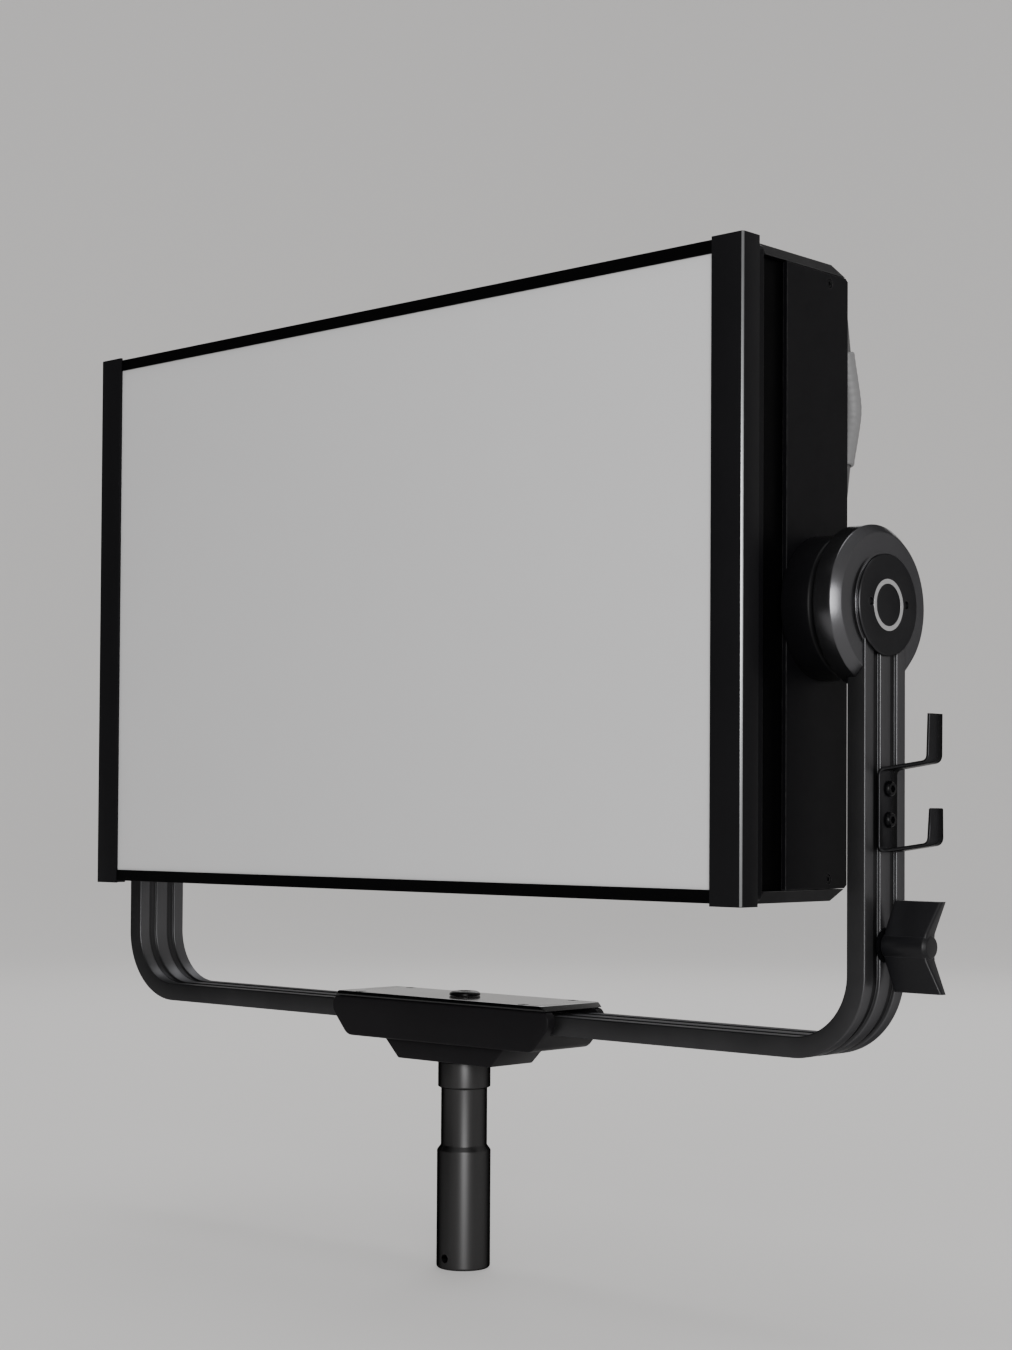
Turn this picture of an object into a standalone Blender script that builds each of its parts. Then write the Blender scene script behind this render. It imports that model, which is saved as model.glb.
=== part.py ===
"""LED soft panel light on a U-shaped yoke with a junior stand spigot.

All sizes are in millimetres and become metres where a mesh is made.
Origin: centre of the spigot's lower end. +Z up, -Y is the side that shines,
+X is the side with the cable hooks and the wing knob.
"""
import math

import bmesh
import bpy
from mathutils import Vector

MM = 0.001
GAP = 0.3            # clearance between pieces that touch or are let into each other

# Head, front to back
HEAD_Z = 352.0       # middle of the head
HALF_W = 234.0
HALF_H = 152.0
FRONT_Y = -66.5
BACK_Y = 18.5        # face of the back cover
RIM_Y = 20.0         # back edge of the side plates, a little proud of the cover
BEZEL_BACK_Y = -54.0
FRAME_BACK_Y = -46.0
SIDE_FRONT_Y = -28.8  # the side plates start here, behind a recessed band
OPENING_HALF_W = 216.0
OPENING_HALF_H = 144.5
HOUSING_HALF_W = 231.0
HOUSING_HALF_H = 151.0
SIDE_SLOPE_X, SIDE_SLOPE_Z = 3.8, 5.7   # slope along the shells' side edges
SLOPE_Y, SLOPE_Z = 12.0, 7.5             # where the back slope starts, and how far it drops
SHEET = 2.5          # wall of the housing pieces
LIP = 1.5            # how far the opal sheet sits behind the bezel
HANDLE_X = 213.0
HANDLE_Z = 439.0     # middle of the handles
HANDLE_HALF_H = 51.5
HANDLE_HALF_W, HANDLE_HALF_T = 6.0, 3.4
GRIP_HALF_H = 28.0
GRIP_HALF_W, GRIP_HALF_T = 7.8, 5.0

# Tilt joints, on the line y = 0
TILT_Z = 338.0
HUB_RADIUS = 34.0
DISC_RADIUS = 37.5
DISC_FACE_RADIUS = 33.5
DISC_IN = 251.0
DISC_OUT = 265.0
CAP_RADIUS = 23.5
CAP_OUT = 267.7
AXLE_RADIUS = 6.0
CAP_BOSS_RADIUS = 10.0

# Yoke
YOKE_OUT = 266.0     # outer face of an arm
YOKE_THICK = 10.0
YOKE_WIDTH = 33.0
YOKE_LOW_Z = 129.0   # underside of the cross bar
YOKE_EDGE = 0.9      # chamfer on the bar's four corners
YOKE_BEND = 35.0     # centre-line radius of the two bends
ARM_TOP_Z = 350.5

# Saddle and spigot
SADDLE_HALF_L = 79.5
SADDLE_HALF_W = 22.5
SADDLE_TOP_Z = 143.9
SADDLE_STEP_Z = 119.9
SADDLE_LOW_Z = 109.5
PLATE_LOW_Z = 141.2
PLATE_SCREW_X, PLATE_SCREW_Y = 60.0, 19.3
BOLT_RADIUS = 5.0
SPIGOT_RADIUS = 14.3
NECK_RADIUS = 12.3
COLLAR_RADIUS = 14.0

# Cable hooks and wing knob on the +X arm
HOOK_SHEET = 1.4
HOOK_SCREWS = {"hook_screw_upper": 253.7, "hook_screw_lower": 239.5}
KNOB_Z = 182.2
KNOB_STUD_RADIUS = 4.0
KNOB_WASHER_OUT = 267.3
KNOB_HUB_OUT = 291.0
# one wing: distance from the knob's middle, near and far edge along X, half thickness
KNOB_WING = ((2.0, 267.6, 290.0, 4.6), (6.0, 267.6, 290.6, 4.4), (20.8, 272.0, 297.4, 2.3))

# Controls on the back, as seen from behind
PANEL_Z = 246.0
PANEL_HALF_W = 76.0
PANEL_HALF_H = 33.0
DISPLAY = (30.0, 251.0, 31.0, 19.0)      # x, z and half sizes
KNOBS = {"menu_knob": -26.0, "level_knob": -56.0}
KNOB_ROW_Z = 250.0
BUTTONS = {"menu_button": 12.0, "mode_button": 48.0}
BUTTON_ROW_Z = 222.5
INLET_X = -176.0
INLET_Z = 241.0
INLET_HALF_W, INLET_HALF_H = 25.0, 15.0
ROCKER_SWING = 12.0  # degrees between off and on

AXES = {"X": (1, 2, 0), "Y": (0, 2, 1), "Z": (0, 1, 2)}


# ---------------------------------------------------------------- helpers

def clear_scene():
    for obj in list(bpy.data.objects):
        bpy.data.objects.remove(obj, do_unlink=True)


def material(name, colour, roughness, metallic=0.0):
    made = bpy.data.materials.new(name)
    made.use_nodes = True
    shader = made.node_tree.nodes["Principled BSDF"]
    shader.inputs["Base Color"].default_value = (*colour, 1.0)
    shader.inputs["Roughness"].default_value = roughness
    shader.inputs["Metallic"].default_value = metallic
    return made


def on_axis(pair, axis, level):
    """A point from two plane coordinates and its place along the axis."""
    first, second, along = AXES[axis]
    point = [0.0, 0.0, 0.0]
    point[first], point[second], point[along] = pair[0], pair[1], level
    return Vector(point) * MM


def skin_loops(bm, loops, closed=False):
    """Join loops of vertices of equal length with quads."""
    pairs = list(zip(loops, loops[1:]))
    if closed:
        pairs.append((loops[-1], loops[0]))
    for low, high in pairs:
        for i in range(len(low)):
            j = (i + 1) % len(low)
            bm.faces.new((low[i], low[j], high[j], high[i]))


def loft(rows):
    """A closed body through rows of points, with flat ends."""
    bm = bmesh.new()
    loops = [[bm.verts.new(point) for point in row] for row in rows]
    skin_loops(bm, loops)
    bm.faces.new(loops[0])
    bm.faces.new(loops[-1])
    return bm


def prism(outline, axis, low, high):
    """An outline pushed straight along an axis."""
    return loft([[on_axis(pair, axis, level) for pair in outline] for level in (low, high)])


def frame(outer, inner, axis, low, high):
    """A ring between two outlines that have the same number of points."""
    bm = bmesh.new()
    rows = ((outer, low), (outer, high), (inner, high), (inner, low))
    loops = [[bm.verts.new(on_axis(pair, axis, level)) for pair in row] for row, level in rows]
    skin_loops(bm, loops, closed=True)
    return bm


def rectangle(half_w, half_h, centre=(0.0, 0.0), corner=0.0):
    """A rectangle, counter-clockwise, with its corners cut off where corner is set."""
    points = []
    for sx, sy in ((1, 1), (-1, 1), (-1, -1), (1, -1)):
        cut = [(sx * half_w, sy * (half_h - corner)), (sx * (half_w - corner), sy * half_h)]
        if sx * sy < 0:
            cut.reverse()
        points += cut if corner > 0 else cut[:1]
    return [(x + centre[0], y + centre[1]) for x, y in points]


def circle(radius, centre, segments=24):
    turns = (2 * math.pi * i / segments for i in range(segments))
    return [(centre[0] + radius * math.cos(t), centre[1] + radius * math.sin(t)) for t in turns]


def turned(profile, axis, centre, segments=32, bored=False):
    """A turned body from (radius, place along the axis) pairs.

    A solid profile starts and ends on the axis; a bored one is a closed loop off it.
    """
    bm = bmesh.new()
    rows = []
    for radius, level in profile:
        if radius > 0:
            rows.append([bm.verts.new(on_axis(pair, axis, level))
                         for pair in circle(radius, centre, segments)])
        else:
            rows.append(bm.verts.new(on_axis(centre, axis, level)))
    rings = [row for row in rows if isinstance(row, list)]
    skin_loops(bm, rings, closed=bored)
    if not bored:
        for tip, ring in ((rows[0], rings[0]), (rows[-1], rings[-1])):
            for i in range(segments):
                bm.faces.new((tip, ring[i], ring[(i + 1) % segments]))
    return bm


def rod(radius, axis, centre, low, high, segments=24, chamfer=0.0):
    profile = [(0, low), (radius - chamfer, low), (radius, low + chamfer),
               (radius, high - chamfer), (radius - chamfer, high), (0, high)]
    if chamfer == 0:
        profile = [(0, low), (radius, low), (radius, high), (0, high)]
    return turned(profile, axis, centre, segments)


def block(x, y, z):
    """A box from its low and high ends along each axis."""
    corners = [(x[0], y[0]), (x[1], y[0]), (x[1], y[1]), (x[0], y[1])]
    return prism(corners, "Z", z[0], z[1])


def mesh_object(name, bm, pivot=None):
    """Turn a bmesh into an object whose origin sits on its pivot, if it has one."""
    if pivot is not None:
        bmesh.ops.translate(bm, vec=-pivot.location, verts=bm.verts)
    bmesh.ops.recalc_face_normals(bm, faces=bm.faces)
    mesh = bpy.data.meshes.new(name)
    bm.to_mesh(mesh)
    bm.free()
    mesh.shade_smooth()
    mesh.set_sharp_from_angle(angle=math.radians(32))
    made = bpy.data.objects.new(name, mesh)
    bpy.context.scene.collection.objects.link(made)
    made.parent = pivot
    return made


def part(name, bm, look, pivot=None):
    made = mesh_object(name, bm, pivot)
    made.data.materials.append(look)
    return made


def boolean(target, bm, operation="DIFFERENCE"):
    """Cut a shape out of the target, or join one to it."""
    tool = mesh_object(f"tool_{target.name}_{len(target.modifiers)}", bm)
    tool.hide_render = True
    tool.display_type = "WIRE"
    step = target.modifiers.new("boolean", "BOOLEAN")
    step.operation = operation
    step.object = tool


def bevel(target, width, segments=1, angle=40.0):
    step = target.modifiers.new("bevel", "BEVEL")
    step.width = width * MM
    step.segments = segments
    step.limit_method = "ANGLE"
    step.angle_limit = math.radians(angle)


def pivot_at(name, point):
    made = bpy.data.objects.new(name, None)
    made.empty_display_size = 20 * MM
    made.location = Vector(point) * MM
    bpy.context.scene.collection.objects.link(made)
    return made


def sided(outline, side):
    """Mirror an outline in X for the left side."""
    return [(side * a, b) for a, b in outline]


def span(side, near, far):
    """Low and high ends of a stretch along X on one side."""
    return tuple(sorted((side * near, side * far)))


# ---------------------------------------------------------------- head, front

def make_bezel(looks, head):
    """Two upright extrusions with a rail between them above and below."""
    web = 12.0
    for name, side in (("end_bar_right", 1), ("end_bar_left", -1)):
        chamfer = 1.8
        section = [(OPENING_HALF_W, FRONT_Y), (HALF_W - chamfer, FRONT_Y),
                   (HALF_W, FRONT_Y + chamfer), (HALF_W, BEZEL_BACK_Y),
                   (HALF_W - web + 1, BEZEL_BACK_Y), (HALF_W - web + 1, FRONT_Y + LIP),
                   (OPENING_HALF_W, FRONT_Y + LIP)]
        part(name, prism(sided(section, side), "Z", HEAD_Z - HALF_H, HEAD_Z + HALF_H),
             looks["bezel"], head)
    rail_top = HALF_H - 1.3
    for name, side in (("rail_top", 1), ("rail_bottom", -1)):
        section = [(FRONT_Y + 0.6, OPENING_HALF_H), (FRONT_Y + 0.6, rail_top),
                   (BEZEL_BACK_Y, rail_top), (BEZEL_BACK_Y, rail_top - SHEET),
                   (FRONT_Y + LIP, rail_top - SHEET), (FRONT_Y + LIP, OPENING_HALF_H)]
        section = [(y, HEAD_Z + side * z) for y, z in section]
        reach = HALF_W - web + 1 - GAP
        rail = part(name, prism(section, "X", -reach, reach), looks["rail"], head)
        for end in (1, -1):
            boolean(rail, block(span(end, OPENING_HALF_W - GAP, HALF_W),
                                (FRONT_Y - 5, FRONT_Y + LIP + GAP),
                                (HEAD_Z - HALF_H, HEAD_Z + HALF_H)))


def make_diffuser(looks, head):
    low = FRONT_Y + LIP + GAP
    sheet = prism(rectangle(OPENING_HALF_W + 6.4, OPENING_HALF_H + 3.2, (0, HEAD_Z)), "Y",
                  low, low + 3.0)
    part("diffuser", sheet, looks["opal"], head)


def make_front_frame(looks, head):
    """The deep frame behind the bezel, with a fine step along its back edge."""
    outer = rectangle(HOUSING_HALF_W, HALF_H - 2.0, (0, HEAD_Z), 2.0)
    inner = rectangle(224.0, 144.5, (0, HEAD_Z), 2.0)
    low = BEZEL_BACK_Y + GAP
    made = part("front_frame", frame(outer, inner, "Y", low, FRAME_BACK_Y), looks["frame"], head)
    bevel(made, 0.8)


def make_light_engine(looks, head):
    """White mixing box, LED board and finned heat sink, one behind the other."""
    box_front, box_back = -61.4, -32.0
    outer = rectangle(221.5, 142.0, (0, HEAD_Z))
    inner = rectangle(219.5, 140.0, (0, HEAD_Z))
    part("mixing_box", frame(outer, inner, "Y", box_front, box_back), looks["white"], head)

    rows, emitter = 9, 1.0
    pitch = 2 * 141.0 / rows
    board_front, board_back = box_back + GAP, box_back + GAP + 1.6
    section = [(board_back, HEAD_Z - 141.0)]
    section.append((board_front + emitter, HEAD_Z - 141.0))
    for row in range(rows):
        middle = HEAD_Z - 141.0 + (row + 0.5) * pitch
        section += [(board_front + emitter, middle - 2), (board_front, middle - 2),
                    (board_front, middle + 2), (board_front + emitter, middle + 2)]
    section += [(board_front + emitter, HEAD_Z + 141.0), (board_back, HEAD_Z + 141.0)]
    part("led_board", prism(section, "X", -220.0, 220.0), looks["board"], head)

    fin_pitch, fins, fin, root = 16.0, 27, 2.4, 4.0
    sink_front, sink_back = board_back + GAP, -2.0
    left = -(fins - 1) * fin_pitch / 2
    section = [(left - fin / 2, sink_front)]
    for index in range(fins):
        middle = left + index * fin_pitch
        section += [(middle - fin / 2, sink_back), (middle + fin / 2, sink_back)]
        if index < fins - 1:
            section += [(middle + fin / 2, sink_front + root),
                        (middle + fin_pitch - fin / 2, sink_front + root)]
    section.append((-left + fin / 2, sink_front))
    sink = part("heat_sink", prism(section, "Z", HEAD_Z - 138.0, HEAD_Z + 138.0),
                looks["bare"], head)
    boolean(sink, block((-230, 230), (sink_front + root, 5), (200, 292)))


# ---------------------------------------------------------------- head, housing

def make_chassis(looks, head):
    """The band that every housing piece is screwed to; it shows in the side recess."""
    outer = rectangle(HOUSING_HALF_W - SHEET - 0.8, HOUSING_HALF_H - SHEET - GAP, (0, HEAD_Z), 3.2)
    inner = rectangle(225.0, 145.0, (0, HEAD_Z), 3.2)
    band = frame(outer, inner, "Y", FRAME_BACK_Y + GAP, SLOPE_Y - 1.5)
    made = part("chassis", band, looks["frame"], head)
    boolean(made, rod(AXLE_RADIUS + GAP, "X", (0, TILT_Z), -240, 240))


def shell_body(levels, front, way):
    """A body with an oblong at each level: half width, back end and height above the middle."""
    rows = []
    for half_w, end, z in levels:
        corners = [(-half_w, front), (half_w, front), (half_w, end), (-half_w, end)]
        rows.append([on_axis(pair, "Z", HEAD_Z + way * z) for pair in corners])
    return loft(rows)


def make_shells(looks, head):
    """Covers above and below, with sloping edges at the sides and at the back."""
    front = FRAME_BACK_Y + GAP
    low_z = HOUSING_HALF_H - SIDE_SLOPE_Z
    top_half_w = HOUSING_HALF_W - SIDE_SLOPE_X
    slope_wall = SHEET / 2
    outside = ((HOUSING_HALF_W, slope_y_at(low_z), low_z), (top_half_w, SLOPE_Y, HOUSING_HALF_H))
    inside = ((HOUSING_HALF_W - SHEET, slope_y_at(low_z) - SHEET, low_z - 1),
              (top_half_w - slope_wall, SLOPE_Y - slope_wall, HOUSING_HALF_H - SHEET))
    for name, way in (("shell_top", 1), ("shell_bottom", -1)):
        shell = part(name, shell_body(outside, front, way), looks["shell"], head)
        boolean(shell, shell_body(inside, front - 5, way))


def slope_y_at(half_height):
    """Where the slope along the back edge reaches a height above the head's middle."""
    return SLOPE_Y + (RIM_Y - SLOPE_Y) * (HOUSING_HALF_H - half_height) / SLOPE_Z


def make_side_plates(looks, head):
    """Flat side plates, each bored for the tilt axle, with two screws at the back."""
    top = HOUSING_HALF_H - SIDE_SLOPE_Z - GAP
    corner = [(SIDE_FRONT_Y, top), (slope_y_at(top) - GAP, top), (RIM_Y, HOUSING_HALF_H - SLOPE_Z)]
    outline = [(y, HEAD_Z + z) for y, z in corner]
    outline += [(y, HEAD_Z - z) for y, z in reversed(corner)]
    screw_y, screw_z, head_radius, seat_depth = 5.0, 140.5, 2.1, 1.2
    for word, side in (("right", 1), ("left", -1)):
        low, high = span(side, HOUSING_HALF_W - SHEET, HOUSING_HALF_W)
        plate = part(f"side_plate_{word}", prism(outline, "X", low, high), looks["shell"], head)
        boolean(plate, rod(AXLE_RADIUS + GAP, "X", (0, TILT_Z), low - 2, high + 2))
        for place, way in (("upper", 1), ("lower", -1)):
            centre = (screw_y, HEAD_Z + way * screw_z)
            seat = span(side, HOUSING_HALF_W - seat_depth, HOUSING_HALF_W + 2)
            boolean(plate, rod(head_radius + GAP, "X", centre, *seat, segments=12))
            screw = span(side, HOUSING_HALF_W - seat_depth + GAP, HOUSING_HALF_W - 0.2)
            part(f"side_screw_{word}_{place}",
                 rod(head_radius, "X", centre, *screw, segments=12), looks["screw"], head)


def add_slot(bm, x, z, half_w, half_h, depth):
    """Add one upright slot cutter with pointed ends."""
    outline = [(x + half_w, z - half_h), (x + half_w, z + half_h), (x, z + half_h + half_w),
               (x - half_w, z + half_h), (x - half_w, z - half_h), (x, z - half_h - half_w)]
    loops = [[bm.verts.new(on_axis(pair, "Y", level)) for pair in outline] for level in depth]
    skin_loops(bm, loops)
    bm.faces.new(loops[0])
    bm.faces.new(loops[1])


def make_rear_cover(looks, head):
    """Back plate with a row of vents and openings for the controls and the mains inlet."""
    inside = BACK_Y - SHEET - GAP
    shell_low_z = HOUSING_HALF_H - SIDE_SLOPE_Z
    slope_z = HOUSING_HALF_H - SLOPE_Z * (BACK_Y - SLOPE_Y) / (RIM_Y - SLOPE_Y)
    edge = [(inside, shell_low_z - GAP), (BACK_Y, slope_z - 2 * GAP)]
    outline = [(y, HEAD_Z + z) for y, z in edge] + [(y, HEAD_Z - z) for y, z in reversed(edge)]
    half_w = HOUSING_HALF_W - SHEET - GAP
    cover = part("rear_cover", prism(outline, "X", -half_w, half_w), looks["shell"], head)
    through = (BACK_Y - 10, BACK_Y + 5)
    slots, pitch = 17, 17.0
    vents = bmesh.new()
    for index in range(slots):
        add_slot(vents, (index - (slots - 1) / 2) * pitch, 398.0, 2.0, 46.0, through)
    boolean(cover, vents)
    boolean(cover, block((-PANEL_HALF_W - GAP, PANEL_HALF_W + GAP), through,
                         (PANEL_Z - PANEL_HALF_H - GAP, PANEL_Z + PANEL_HALF_H + GAP)))
    boolean(cover, block((INLET_X - INLET_HALF_W - GAP, INLET_X + INLET_HALF_W + GAP), through,
                         (INLET_Z - INLET_HALF_H - GAP, INLET_Z + INLET_HALF_H + GAP)))


def sweep(path, half_w, half_t, sides=8, flare=0.0):
    """Rows of an oval section along a path that stays in one plane across X."""
    rows = []
    last = len(path) - 1
    for index, point in enumerate(path):
        ahead = path[min(index + 1, last)] - path[max(index - 1, 0)]
        across = Vector((1, 0, 0))
        lift = across.cross(ahead.normalized())
        grow = 1 + flare * max(0.0, 1 - min(index, last - index) / 3)
        row = []
        for i in range(sides):
            turn = 2 * math.pi * (i + 0.5) / sides
            row.append((point + across * half_w * grow * math.cos(turn)
                        + lift * half_t * grow * math.sin(turn)) * MM)
        rows.append(row)
    return rows


def smooth_path(points, steps):
    """Points of a Catmull-Rom curve through the given points."""
    ends = [2 * points[0] - points[1]] + points + [2 * points[-1] - points[-2]]
    path = []
    for a, b, c, d in zip(ends, ends[1:], ends[2:], ends[3:]):
        for step in range(steps):
            t = step / steps
            path.append(0.5 * (2 * b + (c - a) * t + (2 * a - 5 * b + 4 * c - d) * t * t
                               + (3 * b - a - 3 * c + d) * t ** 3))
    path.append(points[-1])
    return path


def make_handles(looks, head):
    """Bowed carry handles on the back, each a bar with a soft grip over its middle."""
    reach = HANDLE_HALF_H
    half = [(BACK_Y + 2 * GAP, reach), (24, reach), (30, reach), (34.2, reach - 2),
            (36.6, reach - 7.5), (38.2, reach - 16.5), (40, reach - 26.5), (43, reach - 37.5),
            (45.6, reach - 46.5), (46.2, 0)]
    profile = half + [(y, -z) for y, z in reversed(half[:-1])]
    for word, side in (("right", 1), ("left", -1)):
        points = [Vector((side * HANDLE_X, y, HANDLE_Z + z)) for y, z in profile]
        path = smooth_path(points, 2)
        bar = loft(sweep(path, HANDLE_HALF_W, HANDLE_HALF_T, flare=0.5))
        part(f"handle_{word}", bar, looks["handle"], head)
        grip = [point for point in path if abs(point.z - HANDLE_Z) < GRIP_HALF_H]
        outer = sweep(grip, GRIP_HALF_W, GRIP_HALF_T)
        inner = sweep(grip, HANDLE_HALF_W + GAP, HANDLE_HALF_T + GAP)
        bm = bmesh.new()
        loops = [[bm.verts.new(point) for point in row] for row in outer + inner[::-1]]
        skin_loops(bm, loops, closed=True)
        part(f"handle_grip_{word}", bm, looks["rubber"], head)


# ---------------------------------------------------------------- head, electrics and controls

def make_electrics(looks, head):
    """Power supply, driver board and control board in the lower part of the housing."""
    supply = part("power_supply", block((90, 210), (-24, 12), (216, 286)), looks["bare"], head)
    bevel(supply, 1.5)
    driver = part("driver_board", block((-140, 80), (-20, -18.4), (216, 286)), looks["board"], head)
    for x, z, half_w, height in ((-110, 250, 18, 16), (-60, 262, 14, 10), (-10, 240, 20, 13),
                                 (45, 256, 16, 8)):
        lump = block((x - half_w, x + half_w), (-18.6, -18.4 + height), (z - 15, z + 15))
        boolean(driver, lump, "UNION")
    part("control_board", block((-72, 72), (6.0, 7.6), (219, 273)), looks["board"], head)


def make_control_panel(looks, head):
    """Raised panel with a display, two turning knobs and two push buttons."""
    face = BACK_Y + 0.8
    panel = part("control_panel", block((-PANEL_HALF_W, PANEL_HALF_W), (BACK_Y - SHEET, face),
                                        (PANEL_Z - PANEL_HALF_H, PANEL_Z + PANEL_HALF_H)),
                 looks["panel"], head)
    bevel(panel, 0.6)
    through = (BACK_Y - 10, BACK_Y + 5)
    x, z, half_w, half_h = DISPLAY
    boolean(panel, block((x - half_w - GAP, x + half_w + GAP), through,
                         (z - half_h - GAP, z + half_h + GAP)))
    window = block((x - half_w, x + half_w), (BACK_Y - SHEET - 1, face - 0.4),
                   (z - half_h, z + half_h))
    part("display_window", window, looks["display"], head)
    for name, x in KNOBS.items():
        centre = (x, KNOB_ROW_Z)
        boolean(panel, rod(3.0 + 2 * GAP, "Y", centre, *through, segments=16))
        pivot = pivot_at(f"{name}_axis", (x, face, KNOB_ROW_Z))
        profile = [(0, 8), (3, 8), (3, face + GAP), (9, face + GAP), (9, face + 10),
                   (8, face + 11.6), (0, face + 11.6)]
        part(name, turned(profile, "Y", centre, 24), looks["knob"], pivot)
    half_w, half_h = 6.0, 3.5
    for name, x in BUTTONS.items():
        boolean(panel, block((x - half_w - GAP, x + half_w + GAP), through,
                             (BUTTON_ROW_Z - half_h - GAP, BUTTON_ROW_Z + half_h + GAP)))
        pivot = pivot_at(f"{name}_axis", (x, face, BUTTON_ROW_Z))
        cap = block((x - half_w, x + half_w), (9.4, face + 1.4),
                    (BUTTON_ROW_Z - half_h, BUTTON_ROW_Z + half_h))
        bevel(part(name, cap, looks["button"], pivot), 0.5)


def make_mains_inlet(looks, head):
    """Inlet module with a three-pin socket and a rocker switch."""
    socket_x, switch_x = INLET_X - 11.0, INLET_X + 14.5
    deep, face = -4.0, BACK_Y + 1.6
    body = block((INLET_X - INLET_HALF_W, INLET_X + INLET_HALF_W), (deep, face),
                 (INLET_Z - INLET_HALF_H, INLET_Z + INLET_HALF_H))
    inlet = part("mains_inlet", body, looks["plastic"], head)
    flange = block((INLET_X - 28, INLET_X + 28), (BACK_Y + GAP, face), (INLET_Z - 18, INLET_Z + 18))
    boolean(inlet, flange, "UNION")
    boolean(inlet, block((socket_x - 12, socket_x + 12), (4, face + 2),
                         (INLET_Z - 8.3, INLET_Z + 8.3)))
    for x, z in ((-6, -1.5), (6, -1.5), (0, 3.0)):
        pin = block((socket_x + x - 1, socket_x + x + 1), (3.5, 16),
                    (INLET_Z + z - 2.5, INLET_Z + z + 2.5))
        boolean(inlet, pin, "UNION")
    boolean(inlet, block((switch_x - 7, switch_x + 7), (8, face + 2),
                         (INLET_Z - 10.8, INLET_Z + 10.8)))
    pivot_y = 13.5
    pivot = pivot_at("power_switch_axis", (switch_x, pivot_y, INLET_Z))
    lean = math.radians(ROCKER_SWING / 2)
    outline = []
    for y, z in ((-3, -6), (6.2, -9.4), (7.8, -9.4), (6.6, 0), (7.8, 9.4), (6.2, 9.4), (-3, 6)):
        outline.append((pivot_y + y * math.cos(lean) - z * math.sin(lean),
                        INLET_Z + y * math.sin(lean) + z * math.cos(lean)))
    part("power_switch", prism(outline, "X", switch_x - 6.7, switch_x + 6.7),
         looks["button"], pivot)


# ---------------------------------------------------------------- tilt joints

def make_tilt_joint(word, side, looks, head):
    """Hub on the head, friction washer, notched disc on the arm, axle and cap."""
    centre = (0, TILT_Z)
    bore = AXLE_RADIUS + GAP

    def lathe(profile, bored, segments=32):
        return turned([(r, side * x) for r, x in profile], "X", centre, segments, bored)

    hub_in, hub_out = HOUSING_HALF_W + GAP, DISC_IN - 2.1
    hub = [(bore, hub_in), (HUB_RADIUS, hub_in), (HUB_RADIUS, hub_out - 2.4),
           (HUB_RADIUS - 3, hub_out), (bore, hub_out)]
    part(f"tilt_hub_{word}", lathe(hub, True), looks["frame"], head)

    washer_in, washer_out = hub_out + GAP, DISC_IN - GAP
    washer = [(bore, washer_in), (28, washer_in), (28, washer_out), (bore, washer_out)]
    part(f"friction_washer_{word}", lathe(washer, True, 24), looks["washer"])

    land = CAP_RADIUS - 0.2
    disc = [(bore, DISC_IN), (DISC_RADIUS - 0.8, DISC_IN), (DISC_RADIUS, DISC_IN + 0.8),
            (DISC_RADIUS, DISC_OUT - 4), (DISC_FACE_RADIUS, DISC_OUT), (land, DISC_OUT),
            (land, YOKE_OUT), (bore, YOKE_OUT)]
    made = part(f"tilt_disc_{word}", lathe(disc, True, 40), looks["dark_metal"])
    notch = span(side, YOKE_OUT - YOKE_THICK - GAP, YOKE_OUT + 5)
    reach = YOKE_WIDTH / 2 + GAP
    boolean(made, block(notch, (-reach, reach), (TILT_Z - 50, ARM_TOP_Z + GAP)))

    cap_in = YOKE_OUT + GAP
    bore_end = cap_in - 1.3
    cap = [(0, bore_end), (bore, bore_end), (bore, YOKE_OUT - YOKE_THICK + GAP),
           (CAP_BOSS_RADIUS, YOKE_OUT - YOKE_THICK + GAP), (CAP_BOSS_RADIUS, cap_in),
           (CAP_RADIUS, cap_in), (CAP_RADIUS, CAP_OUT - 0.6), (CAP_RADIUS - 0.6, CAP_OUT),
           (0, CAP_OUT)]
    made = part(f"tilt_cap_{word}", lathe(cap, False), looks["cap"])
    for y in (-14.4, 14.4):
        hole = rod(1.5, "X", (y, TILT_Z + 0.8), *span(side, CAP_OUT - 0.8, CAP_OUT + 2),
                   segments=12)
        boolean(made, hole)

    axle_in, wall = 219.9, 224.7
    axle = [(0, axle_in), (11, axle_in), (11, wall), (AXLE_RADIUS, wall),
            (AXLE_RADIUS, bore_end - GAP), (0, bore_end - GAP)]
    part(f"tilt_axle_{word}", lathe(axle, False, 24), looks["steel"])


# ---------------------------------------------------------------- yoke and what it carries

def yoke_section():
    """Section of the bent bar: outward distance and Y, with ribs on both faces."""
    half_t, half_w = YOKE_THICK / 2, YOKE_WIDTH / 2
    rib_in, rib_out = 4.0, 9.5
    corner = [(half_t - YOKE_EDGE, half_w), (half_t, half_w - YOKE_EDGE)]
    outside = [(half_t, rib_out), (half_t - 1.6, rib_out), (half_t - 1.6, rib_in), (half_t, rib_in)]
    inside = [(half_t, rib_out), (half_t - 1.2, rib_out), (half_t - 1.2, rib_in), (half_t, rib_in)]
    front_out = corner + outside
    front_in = corner + inside
    points = front_out + [(u, -v) for u, v in reversed(front_out)]
    points += [(-u, -v) for u, v in front_in]
    points += [(-u, v) for u, v in reversed(front_in)]
    return points


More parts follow.
